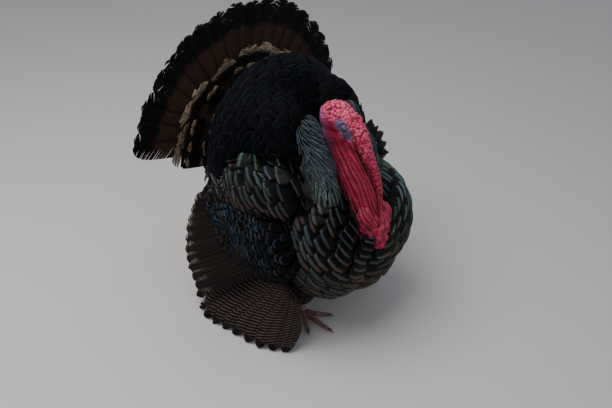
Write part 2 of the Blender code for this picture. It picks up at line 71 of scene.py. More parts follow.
def ease(low, high, value):
    """0 below low, 1 above high, and 3t^2 - 2t^3 between."""
    t = np.clip((value - low) / (high - low), 0.0, 1.0)
    return t * t * (3.0 - 2.0 * t)


def turns(columns):
    """Even turns round a ring, from 0 up to a full turn."""
    return np.linspace(0.0, FULL_TURN, columns, endpoint=False)


def circle(turn, first, second):
    """cos(turn) first + sin(turn) second."""
    return np.cos(turn) * first + np.sin(turn) * second


def together(*parts):
    """Arrays brought to one shape and set side by side along a new last axis."""
    return np.stack(np.broadcast_arrays(*parts), -1)


def smooth_curve(points, count):
    """A Catmull-Rom curve through the points, sampled evenly in its parameter."""
    points = np.asarray(points, dtype=float)
    padded = np.concatenate([[2 * points[0] - points[1]], points, [2 * points[-1] - points[-2]]])
    place = np.linspace(0.0, len(points) - 1.0, count)
    index = np.minimum(place.astype(int), len(points) - 2)
    t = (place - index).reshape((-1,) + (1,) * (points.ndim - 1))
    a, b, c, d = (padded[index + k] for k in range(4))
    cubic = (3 * (b - c) + d - a) * t**3
    square = (2 * a - 5 * b + 4 * c - d) * t**2
    return 0.5 * (2 * b + (c - a) * t + square + cubic)


def mirrored(masses):
    """The same ellipsoids on the other side of the bird."""
    return [(np.array(centre) * MIRROR, axes) for centre, axes in masses]


class Form:
    """A soft form: the smooth union of ellipsoids, seen from an eye point inside it.

    With q the reach of a point in each ellipsoid's own radii, the level is
    -log(sum(exp(-hardness (q - 1)))) / hardness, below 0 inside and above 0 outside.
    """

    def __init__(self, eye, masses, hardness=14.0):
        self.eye = np.array(eye, float)
        self.centres = np.array([centre for centre, _ in masses], float)
        self.axes = np.array([axes for _, axes in masses], float)
        self.hardness = hardness

    def other_side(self, shift):
        """The twin across the midline, moved by the shift."""
        pairs = list(zip(self.centres * MIRROR + shift, self.axes))
        return Form(self.eye * MIRROR + shift, pairs, self.hardness)

    def level(self, points):
        reach = np.linalg.norm((points[..., None, :] - self.centres) / self.axes, axis=-1)
        total = np.exp(-self.hardness * (reach - 1.0)).sum(-1)
        return -np.log(np.maximum(total, 1e-300)) / self.hardness

    def outside(self, points):
        """Distance outside the surface, as level over slope, and the outward normal."""
        base = self.level(points)
        step = 2e-4
        slope = np.stack([(self.level(points + step * axis) - base) / step for axis in np.eye(3)], -1)
        steep = np.maximum(np.linalg.norm(slope, axis=-1), 1e-9)
        return base / steep, slope / steep[..., None]

    def surface(self, rays):
        """Where rays from the eye point leave the form, by bisection."""
        steps = np.linspace(0.0, 0.6, 121)
        level = self.level(self.eye + rays[..., None, :] * steps[:, None])
        last_inside = steps.size - 1 - np.argmax(level[..., ::-1] < 0.0, axis=-1)
        near = steps[last_inside]
        far = near + steps[1]
        for _ in range(16):
            middle = 0.5 * (near + far)
            inside = self.level(self.eye + rays * middle[..., None]) < 0.0
            near, far = np.where(inside, middle, near), np.where(inside, far, middle)
        return self.eye + rays * near[..., None]


TRUNK_SIDE = [((-0.076, -0.138, 0.302), (0.118, 0.127, 0.160))]
TRUNK_MASSES = [
    ((0.0, 0.040, 0.335), (0.195, 0.225, 0.200)),
    ((0.0, 0.130, 0.330), (0.130, 0.145, 0.140)),
    ((0.0, -0.152, 0.285), (0.105, 0.130, 0.150)),
]
MANTLE_SIDE = [((-0.088, 0.000, 0.455), (0.095, 0.108, 0.190))]
MANTLE_MASSES = [((0.0, 0.090, 0.460), (0.225, 0.130, 0.240))]
RUFF_MASSES = [
    ((-0.082, -0.077, 0.552), (0.033, 0.050, 0.083)),
    ((-0.087, -0.113, 0.497), (0.034, 0.057, 0.078)),
    ((-0.095, -0.146, 0.450), (0.034, 0.046, 0.056)),
]
SCAPULAR_MASSES = [
    ((-0.158, -0.070, 0.458), (0.052, 0.070, 0.078)),
    ((-0.180, 0.010, 0.445), (0.050, 0.085, 0.085)),
    ((-0.186, 0.085, 0.410), (0.042, 0.075, 0.074)),
]
WING_MASSES = [
    ((-0.195, 0.045, 0.330), (0.045, 0.145, 0.105)),
    ((-0.200, -0.070, 0.310), (0.042, 0.095, 0.095)),
    ((-0.208, 0.015, 0.280), (0.038, 0.125, 0.092)),
]
THIGH_AXES = (0.058, 0.072, 0.084)
THIGH_RIGHT = (-0.102, -0.055, 0.142)
THIGH_LEFT = (0.088, 0.042, 0.142)
VENT_MASSES = [
    ((0.0, 0.255, 0.450), (0.150, 0.060, 0.105)),
    ((0.0, 0.265, 0.360), (0.120, 0.075, 0.110)),
]
FORMS = {
    "trunk": Form((0.0, 0.0, 0.33), TRUNK_MASSES + TRUNK_SIDE + mirrored(TRUNK_SIDE)),
    "mantle": Form((0.0, 0.040, 0.42), MANTLE_MASSES + MANTLE_SIDE + mirrored(MANTLE_SIDE)),
    "ruff_right": Form((-0.088, -0.105, 0.490), RUFF_MASSES, 11.0),
    "scapulars_right": Form((-0.180, -0.020, 0.445), SCAPULAR_MASSES),
    "wing_coverts_right": Form((-0.200, 0.000, 0.320), WING_MASSES),
    "thigh_right": Form(THIGH_RIGHT, [(THIGH_RIGHT, THIGH_AXES)]),
    "thigh_left": Form(THIGH_LEFT, [(THIGH_LEFT, THIGH_AXES)]),
    "tail_under": Form((0.0, 0.280, 0.420), VENT_MASSES),
}
FORMS["ruff_left"] = FORMS["ruff_right"].other_side(LEFT_SHOULDER_SHIFT)
FORMS["scapulars_left"] = FORMS["scapulars_right"].other_side(LEFT_SHOULDER_SHIFT)
FORMS["wing_coverts_left"] = FORMS["wing_coverts_right"].other_side(LEFT_WING_SHIFT)


# ---------------------------------------------------------------- meshes
def mesh_object(name, vertices, quads, triangles=(), uv=None, bake=None, colours=None, values=None):
    """An object from arrays: quads and triangles of vertex numbers, and what each vertex carries.

    uv and bake hold one pair for each vertex; colours and values hold named point attributes.
    """
    quads = np.asarray(quads, np.int32).reshape(-1, 4)
    triangles = np.asarray(triangles, np.int32).reshape(-1, 3)
    corners = np.concatenate([quads.ravel(), triangles.ravel()])
    sizes = np.concatenate([np.full(len(quads), 4), np.full(len(triangles), 3)]).astype(np.int32)
    mesh = bpy.data.meshes.new(name)
    mesh.vertices.add(len(vertices))
    mesh.vertices.foreach_set("co", np.asarray(vertices + SHIFT, np.float32).ravel())
    mesh.loops.add(len(corners))
    mesh.loops.foreach_set("vertex_index", corners)
    mesh.polygons.add(len(sizes))
    mesh.polygons.foreach_set("loop_start", np.concatenate([[0], np.cumsum(sizes)[:-1]]).astype(np.int32))
    mesh.polygons.foreach_set("loop_total", sizes)
    mesh.update(calc_edges=True)
    for layer, pairs in (("vane", uv), ("OFBake", bake)):
        if pairs is not None:
            coordinates = mesh.uv_layers.new(name=layer)
            coordinates.data.foreach_set("uv", np.asarray(pairs, np.float32)[corners].ravel())
    for label, rows in (colours or {}).items():
        attribute = mesh.attributes.new(label, "FLOAT_COLOR", "POINT")
        rows = np.concatenate([rows, np.ones((len(rows), 1))], 1)
        attribute.data.foreach_set("color", np.asarray(rows, np.float32).ravel())
    for label, row in (values or {}).items():
        attribute = mesh.attributes.new(label, "FLOAT", "POINT")
        attribute.data.foreach_set("value", np.asarray(row, np.float32).ravel())
    mesh.shade_smooth()
    piece = bpy.data.objects.new(name, mesh)
    bpy.context.scene.collection.objects.link(piece)
    return piece


def grid_quads(rows, columns, wrap):
    """Quads over a rows-by-columns grid of points, joined round when wrap is set."""
    row = np.arange(rows - 1)[:, None] * columns
    column = np.arange(columns if wrap else columns - 1)[None, :]
    right = (column + 1) % columns
    corners = (row + column, row + right, row + columns + right, row + columns + column)
    return np.stack([np.broadcast_to(c, (rows - 1, column.size)) for c in corners], -1).reshape(-1, 4)


def repeated(faces, points_each, count):
    """The same faces for each of count like shapes, whose points follow one another."""
    faces = np.asarray(faces)
    return (faces[None] + np.arange(count)[:, None, None] * points_each).reshape(-1, faces.shape[1])


# ---------------------------------------------------------------- feathers
VANE_THICKNESS = 0.0006
VANE_GAP = 0.0003
# The tint of a painted reflection of the brown ground, laid on each vane's downward half.
GROUND_REFLECTION_SHIFT = np.array((0.55, -0.30, -0.60))
SHAFT_SIDES, SHAFT_STATIONS = 6, 14
BARB_RELIEF = np.array((-0.00018, 0.00022, -0.00018)).reshape(1, 1, 1, 3, 1)


def tract(form, axis, start, end, across, along, rng):
    """Feather roots on a form in staggered rings round an axis, from one polar angle to another.

    A ray is cos(p) axis + sin(p) (cos(t) b + sin(t) c). Returns the points where the rays leave
    the form, the direction of growing p there, and the pair (t, p) of each as shares of the whole.
    """
    axis = unit(np.array(axis, float))
    b = unit(np.cross(axis, (1.0, 0.0, 0.0) if abs(axis[0]) < 0.8 else (0.0, 0.0, 1.0)))
    c = np.cross(axis, b)
    polar = np.linspace(start, end, 40)
    probe = form.surface(circle(polar[:, None, None], axis, circle(turns(16)[:, None], b, c)))
    run = np.linalg.norm(np.diff(probe, axis=0), axis=-1).mean(1)
    gone = np.concatenate([[0.0], np.cumsum(run)])
    ring_count = max(2, int(round(gone[-1] / along)))
    ring_place = np.interp((np.arange(ring_count) + 0.5) / ring_count * gone[-1], gone, polar)
    girth = np.linalg.norm(np.roll(probe, -1, axis=1) - probe, axis=-1).sum(1)
    number = np.maximum(3, np.round(np.interp(ring_place, polar, girth) / across)).astype(int)
    ring = np.repeat(np.arange(ring_count), number)
    order = np.arange(number.sum()) - np.repeat(np.cumsum(number) - number, number)
    turn = (order + 0.5 * (ring % 2) + 0.21 * ring + rng.uniform(-0.12, 0.12, ring.size)) / number[ring]
    turn = turn * FULL_TURN % FULL_TURN
    polar = ring_place[ring] + rng.uniform(-0.14, 0.14, ring.size) * (end - start) / ring_count
    outward = circle(turn[:, None], b, c)
    rays = circle(polar[:, None], axis, outward)
    flow = circle(polar[:, None], outward, -axis)
    share = np.stack([turn / FULL_TURN, polar / math.pi], -1)
    return form.surface(rays), flow, share


def lay(form, roots, flow, length, heights):
    """Spines that follow a form from their roots, at the given heights over its surface.

    Each step goes along the direction by its share of the length, is put back to its height
    along the normal, and turns the direction into the surface there.
    """
    steps = heights.shape[1] - 1
    away, normal = form.outside(roots)
    spot = roots + normal * (heights[:, :1] - away[:, None])
    direction = unit(flow - dot(flow, normal) * normal)
    spots, normals = [spot], [normal]
    for k in range(1, steps + 1):
        spot = spot + direction * (length / steps)[:, None]
        away, normal = form.outside(spot)
        spot = spot + normal * (heights[:, k : k + 1] - away[:, None])
        direction = unit(direction - dot(direction, normal) * normal)
        spots.append(spot)
        normals.append(normal)
    spine, normal = np.stack(spots, 1), np.stack(normals, 1)
    tangent = unit(np.gradient(spine, axis=1))
    side = unit(np.cross(tangent, normal))
    return spine, side, unit(np.cross(side, tangent))


def along_spine(rows, place):
    """Rows (feathers, stations, 3) read at a share of the spine, straight between stations."""
    last = rows.shape[1] - 1
    spot = np.clip(place, 0.0, 1.0) * last
    index = np.minimum(spot.astype(int), last - 1)
    part = (spot - index)[..., None]
    feather = np.arange(rows.shape[0]).reshape((-1,) + (1,) * (place.ndim - 1))
    return rows[feather, index] * (1.0 - part) + rows[feather, index + 1] * part


def plate_feathers(name, laid, width, share, rng, look, camber=0.16, narrow=0.50, tip=0.14, ragged=0.015,
                   columns=7, rows=9, tip_narrow=0.35, patch=0.003, copper=0.0):
    """Contour feathers as thin closed vanes.

    Across, s runs from -1 to 1, and along, v from 0 to 1. The half width is width (narrow +
    (1 - narrow) sin(quarter turn of v / 0.72)), less tip_narrow towards the tip. The row at v bends
    back by tip s^2 v^2, and the vane drops from its spine by camber s^2 of the half width. Above and
    below lies a lens of thickness, zero at the vane's edges.
    """
    spine, side, normal = laid
    count = spine.shape[0]
    s = np.linspace(-1.0, 1.0, columns)
    v = 1.0 - (1.0 - np.linspace(0.0, 1.0, rows)) ** 1.5
    swell = narrow + (1.0 - narrow) * np.sin(np.clip(v / 0.72, 0.0, 1.0) * math.pi / 2)
    swell = swell * np.sqrt(1.0 - tip_narrow * ease(0.60, 1.0, v) ** 2)
    notch = rng.uniform(0.0, 1.0, (count, 1, columns)) ** 3 * ragged * ease(0.4, 1.0, v)[None, :, None]
    place = v[None, :, None] - tip * (s**2)[None, None, :] * (v**2)[None, :, None] - notch
    place = place + rng.normal(0.0, ragged * 0.15, (count, 1, columns)) * v[None, :, None]
    half = width[:, None, None] * swell[None, :, None]
    lateral = s[None, None, :] * half
    drop = -camber * (s**2)[None, None, :] * half
    lens = np.sin(np.clip(v, 0.04, 0.96) * math.pi)[None, :, None] ** 0.5
    thick = VANE_THICKNESS * ((1.0 - np.abs(s) ** 3)[None, None, :] * lens)
    base = along_spine(spine, place)
    out_side, out_normal = along_spine(side, place), along_spine(normal, place)
    top = base + out_side * lateral[..., None] + out_normal * (drop + thick)[..., None]
    under = base + out_side * lateral[..., None] + out_normal * (drop - VANE_GAP - thick)[..., None]
    around = 2 * columns - 2
    points = np.concatenate([top, under[:, :, -2:0:-1]], 2).reshape(-1, 3)
    each = rows * around
    last = each - around
    closing = np.array([(k, k + 1, around - k - 1, around - k) for k in range(1, columns - 2)])
    quads = np.concatenate([grid_quads(rows, around, True), closing, closing[:, ::-1] + last])
    quads = repeated(quads[:, ::-1], each, count)
    ends = np.array([(0, 1, around - 1), (columns - 2, columns - 1, columns)])
    triangles = repeated(np.concatenate([ends, ends[:, ::-1] + last])[:, ::-1], each, count)
    ring_s = np.concatenate([s, s[-2:0:-1]])
    uv = together(0.5 + 0.5 * ring_s, v[:, None])
    uv = np.broadcast_to(uv, (count, rows, around, 2)).reshape(-1, 2)
    bake = np.repeat(share, each, 0) + (uv - 0.5) * patch
    chance = np.repeat(rng.uniform(0.0, 1.0, count), each)
    tone = look(spine[:, rows // 2], rng)[:, None, None, :]
    # Painted reflection: by the copper setting, the half of each vane that faces down is tinted copper,
    # standing for the brown ground reflected in it.
    upright = np.sign(side[:, side.shape[1] // 2, 2])[:, None, None]
    lower = np.broadcast_to(-ring_s * upright, (count, rows, around))
    warm = copper * ease(-0.3, 0.9, lower) * rng.uniform(0.3, 1.0, (count, 1, 1))
    tone = (tone * (1.0 + warm[..., None] * GROUND_REFLECTION_SHIFT)).reshape(-1, 3)
    return mesh_object(name, points, quads, triangles, uv, bake, {"tone": tone}, {"chance": chance})


BARB_BASE = 0.04  # the share of the shaft below the first barb
BARB_CAMBER = 0.12


def barbed_feathers(name, laid, width, rng, barbs, segments, square, fray, split, shaft, tilt=0.0,
                    narrow=0.35):
    """Quill feathers made of barbs: ribbons from the shaft out to the vane's edge, and the shaft.

    With a from 0 at the base to 1 at the tip, the edge lies at half width (1 - a^square)^0.5, swelling
    from the base, and at a + 0.16 (1 - a) along; barb a leaves the shaft behind that, at about a. A
    ribbon spans one step of a, and where a vane has split its outer end is narrower.
    """
    spine, side, normal = laid
    count = spine.shape[0]
    hand = np.array((-1.0, 1.0))[None, :, None, None, None]
    step = 1.0 / barbs
    low = np.arange(barbs) * step
    t = np.linspace(0.0, 1.0, segments + 1)[None, None, None, None, :]
    shape = (count, 2, barbs, 1, 1)
    tear = (rng.uniform(0.0, 1.0, (count, 2, barbs)) < split * (0.3 + 1.4 * low**2))[..., None, None]
    gap = np.where(tear, rng.uniform(0.2, 0.8, shape), 0.0) * fray
    clump = np.cumsum(tear[..., 0, 0], axis=2)
    pull = rng.normal(0.0, 1.0, (count, 2, barbs + 2))
    pull = np.take_along_axis(pull, clump, axis=2)[..., None, None]
    edge_place = np.array((0.0, 0.5, 1.0)).reshape(1, 1, 1, 3, 1)
    start = low[None, None, :, None, None]
    a = start + step * (edge_place * 1.12 - 0.06) * (1.0 - gap * t**2 * (edge_place > 0.4))
    tipward = 0.35 + 0.9 * start**2
    a = np.clip(a + pull * fray * 0.010 * t**2 * tipward, 0.0, 1.0)
    shrink = 1.0 - np.abs(rng.normal(0.0, 0.010, shape)) - 0.02 * np.abs(pull) * fray * start
    swell = (narrow + (1.0 - narrow) * ease(0.0, 0.55, a)) * np.clip(1.0 - a**square, 0.0, 1.0) ** 0.5
    edge_x = swell * shrink
    edge_y = (a + 0.16 * (1.0 - a) * ease(0.0, 0.25, a)) * (1.0 - (1.0 - shrink) * 0.6)
    leave = BARB_BASE + (0.975 - BARB_BASE) * a
    edge_y = BARB_BASE + (1.0 - BARB_BASE) * edge_y
    place = leave + (edge_y - leave) * t**1.25
    lateral = edge_x * t * width
    height = BARB_RELIEF * (1.0 - 0.6 * t) - BARB_CAMBER * width * (edge_x * t) ** 2 + tilt * hand * lateral
    height = height + pull * fray * 0.0015 * t**2
    place = np.broadcast_to(place, height.shape)
    points = along_spine(spine, place) + along_spine(side, place) * (hand * lateral)[..., None]
    points = points + along_spine(normal, place) * height[..., None]
    points = np.moveaxis(points, 3, 4)  # feather, hand, barb, segment, edge
    ribbon = grid_quads(segments + 1, 3, True)
    ends = np.array([(0, 2, 1), (segments * 3, segments * 3 + 1, segments * 3 + 2)])
    each = (segments + 1) * 3
    order = np.tile(np.array([False, True]).repeat(barbs), count)
    total = count * 2 * barbs
    quads = repeated(ribbon, each, total).reshape(total, -1, 4)
    triangles = repeated(ends, each, total).reshape(total, -1, 3)
    quads = np.where(order[:, None, None], quads, quads[:, :, ::-1]).reshape(-1, 4)
    triangles = np.where(order[:, None, None], triangles, triangles[:, :, ::-1]).reshape(-1, 3)
    across = np.moveaxis(np.broadcast_to(hand * edge_x * t, height.shape), 3, 4)
    along = np.moveaxis(place, 3, 4)
    uv = np.stack([0.5 + 0.5 * across, along], -1).reshape(-1, 2)
    feather = np.repeat(np.arange(count), 2 * barbs * each)
    points = points.reshape(-1, 3)

    sides, stations = SHAFT_SIDES, SHAFT_STATIONS
    run = np.broadcast_to(np.linspace(0.0, 0.985, stations)[None, :, None], (count, stations, sides))
    turn = turns(sides)
    radius = shaft * (1.0 - 0.88 * run**0.8)
    tube = along_spine(spine, run) + along_spine(side, run) * (radius * np.cos(turn))[..., None]
    tube = tube + along_spine(normal, run) * (radius * (0.75 * np.sin(turn) + 0.1))[..., None]
    tube_quads = grid_quads(stations, sides, True)[:, ::-1]
    tube_quads = repeated(tube_quads, stations * sides, count) + len(points)
    closing = np.array([(0, 1, 2, 3), (0, 3, 4, 5)])
    closing = np.concatenate([closing, (closing + (stations - 1) * sides)[:, ::-1]])
    tube_ends = repeated(closing, stations * sides, count) + len(points)
    tube_uv = together(0.5, run).reshape(-1, 2)
    points = np.concatenate([points, tube.reshape(-1, 3)])
    uv = np.concatenate([uv, tube_uv])
    feather = np.concatenate([feather, np.repeat(np.arange(count), stations * sides)])
    quads = np.concatenate([quads, tube_quads, tube_ends])
    strip = 1.0 / count
    bake = np.stack([(feather + 0.04 + 0.92 * uv[:, 0]) * strip, 0.02 + 0.96 * uv[:, 1]], -1)
    chance = rng.uniform(0.0, 1.0, count)[feather]
    is_shaft = (np.arange(len(points)) >= len(points) - tube.size // 3).astype(float)
    values = {"chance": chance, "shaft": is_shaft}
    return mesh_object(name, points, quads, triangles, uv, bake, values=values)


def straight(roots, tips, facing, bow=(0.0, 0.0, 0.0), stations=13):
    """Spines from roots to tips that bend by bow times 4 v (1 - v), facing a given way."""
    v = np.linspace(0.0, 1.0, stations)[None, :, None]
    bend = 4.0 * v * (1.0 - v) * np.asarray(bow)[..., None, :]
    spine = roots[:, None] + (tips - roots)[:, None] * v + bend
    tangent = unit(np.gradient(spine, axis=1))
    normal = np.broadcast_to(np.asarray(facing, float)[:, None], spine.shape)
    normal = unit(normal - dot(normal, tangent) * tangent)
    return spine, np.cross(tangent, normal), normal


def lattice_random(cells, seed):
    """A repeatable number from 0 to 1 for each whole-numbered cell: the fraction of a large sine."""
    mixed = cells @ np.array((127.1, 311.7, 74.7)) + seed * 53.7
    return np.modf(np.abs(np.sin(mixed) * 43758.5453))[0]


def soft_noise(points, size, seed=0.0):
    """Smooth noise from 0 to 1: corner values of cells of the given size, eased between."""
    place = points / size
    cell = np.floor(place)
    part = place - cell
    part = part * part * (3.0 - 2.0 * part)
    total = 0.0
    for corner in np.ndindex(2, 2, 2):
        share = np.where(np.array(corner) == 1, part, 1.0 - part).prod(-1)
        total = total + share * lattice_random(cell + np.array(corner), seed)
    return total


def pebbles(points, size, seed=0.0):
    """Rounded grains: 1 - (distance to the nearest jittered cell point)^2, and 0 in between."""
    place = points / size
    cell = np.floor(place)
    nearest = np.full(points.shape[:-1], 9.0)
    for step in np.ndindex(3, 3, 3):
        other = cell + np.array(step) - 1.0
        jitter = np.stack([lattice_random(other, seed + k) for k in (1.3, 2.7, 3.9)], -1)
        nearest = np.minimum(nearest, ((other + 0.15 + 0.7 * jitter - place) ** 2).sum(-1))
    return np.clip(1.0 - nearest * 1.3, 0.0, 1.0)


def kept(mask, *rows):
    """Only the rows where the mask holds."""
    return [row[mask] for row in rows]


# ---------------------------------------------------------------- materials
class Shader:
    """A Principled material and short calls that add nodes to it."""

    def __init__(self, name, tree=None):
        if tree is None:
            self.material = bpy.data.materials.new(name)
            self.material.use_nodes = True
            tree = self.material.node_tree
            self.principled = tree.nodes["Principled BSDF"]
        self.tree = tree

    def node(self, kind, *inputs, **settings):
        """A node with its settings, and links or values for its inputs in order."""
        made = self.tree.nodes.new(kind)
        for key, value in settings.items():
            setattr(made, key, value)
        for socket, value in zip(made.inputs, inputs):
            self.feed(socket, value)
        return made

    def feed(self, socket, value):
        """Links an output to a socket, or sets the socket's own value."""
        if value is None:
            return
        if isinstance(value, bpy.types.NodeSocket):
            self.tree.links.new(value, socket)
        elif isinstance(value, (tuple, list)) and socket.type == "RGBA":
            socket.default_value = (*value[:3], 1.0)
        else:
            socket.default_value = value

    def math(self, operation, a, b=None, c=None):
        return self.node("ShaderNodeMath", a, b, c, operation=operation).outputs[0]

    def times(self, a, b):
        return self.math("MULTIPLY", a, b)

    def line(self, value, slope, start):
        """The value times the slope, plus the start."""
        return self.math("MULTIPLY_ADD", value, slope, start)

    def between(self, value, low, high):
        """0 below low and 1 above high, smooth between."""
        return self.node("ShaderNodeMapRange", value, low, high, 0.0, 1.0,
                         interpolation_type="SMOOTHSTEP").outputs[0]

    def mix(self, factor, a, b, blend="MIX"):
        made = self.node("ShaderNodeMix", data_type="RGBA", blend_type=blend)
        self.feed(made.inputs[0], factor)
        self.feed(made.inputs[6], a)
        self.feed(made.inputs[7], b)
        return made.outputs[2]

    def shaded(self, colour, factor):
        """The colour times a grey factor."""
        grey = self.node("ShaderNodeCombineXYZ", factor, factor, factor).outputs[0]
        return self.mix(1.0, colour, grey, "MULTIPLY")

    def attribute(self, name, output="Fac"):
        return self.node("ShaderNodeAttribute", attribute_name=name).outputs[output]

    def noise(self, vector, scale, detail=2.0):
        made = self.node("ShaderNodeTexNoise")
        for label, value in (("Vector", vector), ("Scale", scale), ("Detail", detail), ("Roughness", 0.5)):
            self.feed(made.inputs[label], value)
        return made.outputs["Fac"]

    def place(self):
        return self.node("ShaderNodeTexCoord").outputs["Object"]

    def vane(self):
        """The vane's own place: u across it and v along it."""
        split = self.node("ShaderNodeSeparateXYZ", self.node("ShaderNodeUVMap", uv_map="vane").outputs[0])
        return split.outputs["X"], split.outputs["Y"]

    def set(self, **values):
        for label, value in values.items():
            self.feed(self.principled.inputs[label.replace("_", " ")], value)

    def bump(self, height, strength, distance):
        made = self.node("ShaderNodeBump")
        for label, value in (("Strength", strength), ("Distance", distance), ("Height", height)):
            self.feed(made.inputs[label], value)
        self.set(Normal=made.outputs["Normal"])


def barb_group():
    """Shared by every feather: fine slanting barbs, the distance from the shaft, and soft mottling."""
    group = bpy.data.node_groups.new("feather_barbs", "ShaderNodeTree")
    for label, kind in (("Count", "NodeSocketFloat"), ("Slant", "NodeSocketFloat")):
        group.interface.new_socket(label, in_out="INPUT", socket_type=kind)
    for label in ("Across", "Along", "Barbs", "Mottle"):
        group.interface.new_socket(label, in_out="OUTPUT", socket_type="NodeSocketFloat")
    work = Shader("", group)
    given = work.node("NodeGroupInput")
    result = work.node("NodeGroupOutput")
    u, v = work.vane()
    across = work.math("ABSOLUTE", work.line(u, 2.0, -1.0))
    along = work.math("SUBTRACT", v, work.times(across, given.outputs["Slant"]))
    chance = work.times(work.attribute("chance"), 37.0)
    wide, far = work.times(across, 1.5), work.times(along, 9.0)
    mottle = work.noise(work.node("ShaderNodeCombineXYZ", wide, far, chance).outputs[0], 1.0, 3.0)
    cycles = work.times(given.outputs["Count"], FULL_TURN)
    wave = work.math("SINE", work.times(along, cycles))
    for label, value in (("Across", across), ("Along", v), ("Barbs", wave), ("Mottle", mottle)):
        work.feed(result.inputs[label], value)
    return group


BARBS = barb_group()


def barbs(shader, count, slant=0.18):
    made = shader.node("ShaderNodeGroup", node_tree=BARBS)
    made.inputs["Count"].default_value = count
    made.inputs["Slant"].default_value = slant
    return made.outputs


QUILL_SHAFT = (0.030, 0.020, 0.015)


def contour_finish(name, dark, zone=(0.80, 0.945), soft=0.025, metallic=0.55, roughness=0.42, streak=0.12,
                   gloss=0.20):
    """Body feathers: dark, with a metallic band in the feather's own tone between two places along."""
    shader = Shader(name)
    part = barbs(shader, 60.0)
    along = shader.line(part["Mottle"], 0.04, shader.math("SUBTRACT", part["Along"], 0.02))
    begun = shader.between(along, zone[0] - soft, zone[0] + soft)
    ended = shader.between(along, zone[1] - 0.012, zone[1] + 0.012)
    edge = shader.between(part["Across"], 0.80, 0.99)
    cover = shader.math("SUBTRACT", 1.0, shader.math("MAXIMUM", ended, edge))
    band = shader.times(begun, cover)
    band = shader.times(band, shader.line(part["Mottle"], 0.9, 0.55))
    colour = shader.mix(band, dark, shader.attribute("tone", "Color"))
    shade = shader.line(part["Barbs"], streak, 1.0 - streak)
    colour = shader.shaded(colour, shade)
    shader.set(Base_Color=colour, Metallic=shader.times(band, metallic))
    shader.set(Roughness=shader.line(part["Mottle"], 0.20, roughness - 0.10))
    shader.set(Specular_IOR_Level=gloss)
    shader.bump(part["Barbs"], 0.5, 0.0003)
    return shader.material


def quill_finish(name, ground, bar, count, duty, fade_in, tip=None, tip_start=1.1, band=None,
                 band_start=1.1, outer=0.0, warp=0.35, slant=-0.035, tip_soft=0.015):
    """Quill feathers: slanting bars over the ground colour, then a dark band, then a pale tip.

    A bar shows where the sine of count turns along the vane, warped by mottling, is over duty.
    """
    shader = Shader(name)
    part = barbs(shader, 150.0, 0.10)
    u, v = shader.vane()
    chance = shader.attribute("chance")
    bend = shader.line(u, 2.0 * slant, -slant)
    wobble = shader.line(part["Mottle"], 0.020 * warp, -0.010 * warp)
    place = shader.math("ADD", shader.math("ADD", v, bend), wobble)
    place = shader.line(chance, 0.8 / count, place)
    wave = shader.math("SINE", shader.times(place, FULL_TURN * count))
    bars = shader.between(wave, duty - 0.25, duty + 0.25)
    bars = shader.times(bars, shader.between(part["Along"], fade_in, fade_in + 0.12))
    bars = shader.times(bars, shader.between(part["Across"], outer - 0.10, outer + 0.12))
    bars = shader.times(bars, shader.line(part["Mottle"], 0.9, 0.45))
    patchy = shader.line(chance, 0.5, 0.75)
    tinted = shader.shaded(ground, patchy)
    colour = shader.mix(bars, tinted, bar)
    ragged = shader.math("ADD", part["Along"], shader.line(part["Mottle"], 0.08, -0.04))
    if band is not None:
        colour = shader.mix(shader.between(ragged, band_start - 0.02, band_start + 0.03), colour, band)
    if tip is not None:
        shown = shader.between(ragged, tip_start - tip_soft, tip_start + tip_soft)
        strand = shader.line(part["Across"], -0.10, part["Along"])
        strand = shader.node("ShaderNodeCombineXYZ", part["Across"], shader.times(strand, 55.0),
                             shader.times(chance, 91.0))
        streaks = shader.between(shader.noise(strand.outputs[0], 1.0, 2.0), 0.30, 0.62)
        shown = shader.times(shown, shader.line(streaks, 0.75, 0.20))
        colour = shader.mix(shown, colour, tip)
    colour = shader.mix(shader.attribute("shaft"), colour, QUILL_SHAFT)
    streak = shader.line(part["Barbs"], 0.12, 0.94)
    colour = shader.shaded(colour, streak)
    shader.set(Base_Color=colour, Roughness=shader.line(part["Mottle"], 0.2, 0.6))
    shader.set(Specular_IOR_Level=0.10)
    shader.bump(part["Barbs"], 0.3, 0.0002)
    return shader.material


def dress(piece, material, slot, *nodes):
    """Gives a piece its material and the body it rides on, and hides the nodes it stands for; slot is not
    used.
    """
    piece.data.materials.append(material)
    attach(piece, "root")
    if nodes:
        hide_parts(*nodes)
    return piece


# ---------------------------------------------------------------- head, neck and skin
HEAD_MASSES = [
    ((0.0, -0.102, 0.600), (0.036, 0.047, 0.041)),
    ((0.0, -0.138, 0.592), (0.027, 0.031, 0.036)),
    ((0.0, -0.108, 0.567), (0.034, 0.044, 0.034)),
]
NECK_PATH = (
    (0.0, -0.106, 0.560),
    (0.0, -0.139, 0.515),
    (-0.005, -0.176, 0.460),
    (-0.012, -0.206, 0.398),
    (-0.018, -0.238, 0.325),
)
NECK_HALF_WIDTH = (0.031, 0.037, 0.045, 0.048, 0.030)
NECK_HALF_DEPTH = (0.036, 0.045, 0.049, 0.046, 0.026)
CARUNCLE_MASSES = [
    ((-0.012, -0.247, 0.368), (0.036, 0.027, 0.036)),
    ((-0.018, -0.256, 0.338), (0.028, 0.023, 0.026)),
    ((-0.018, -0.262, 0.322), (0.017, 0.016, 0.016)),
    ((-0.046, -0.232, 0.390), (0.019, 0.022, 0.034)),
    ((0.016, -0.241, 0.386), (0.018, 0.021, 0.031)),
    ((-0.046, -0.240, 0.352), (0.019, 0.020, 0.024)),
    ((0.006, -0.248, 0.350), (0.019, 0.021, 0.024)),
]
SNOOD_PATH = (
    (0.0, -0.150, 0.616),
    (-0.005, -0.174, 0.592),
    (-0.004, -0.198, 0.543),
    (0.008, -0.218, 0.489),
    (0.012, -0.237, 0.432),
)
SNOOD_RADIUS = (0.012, 0.0155, 0.0130, 0.0098, 0.0052)
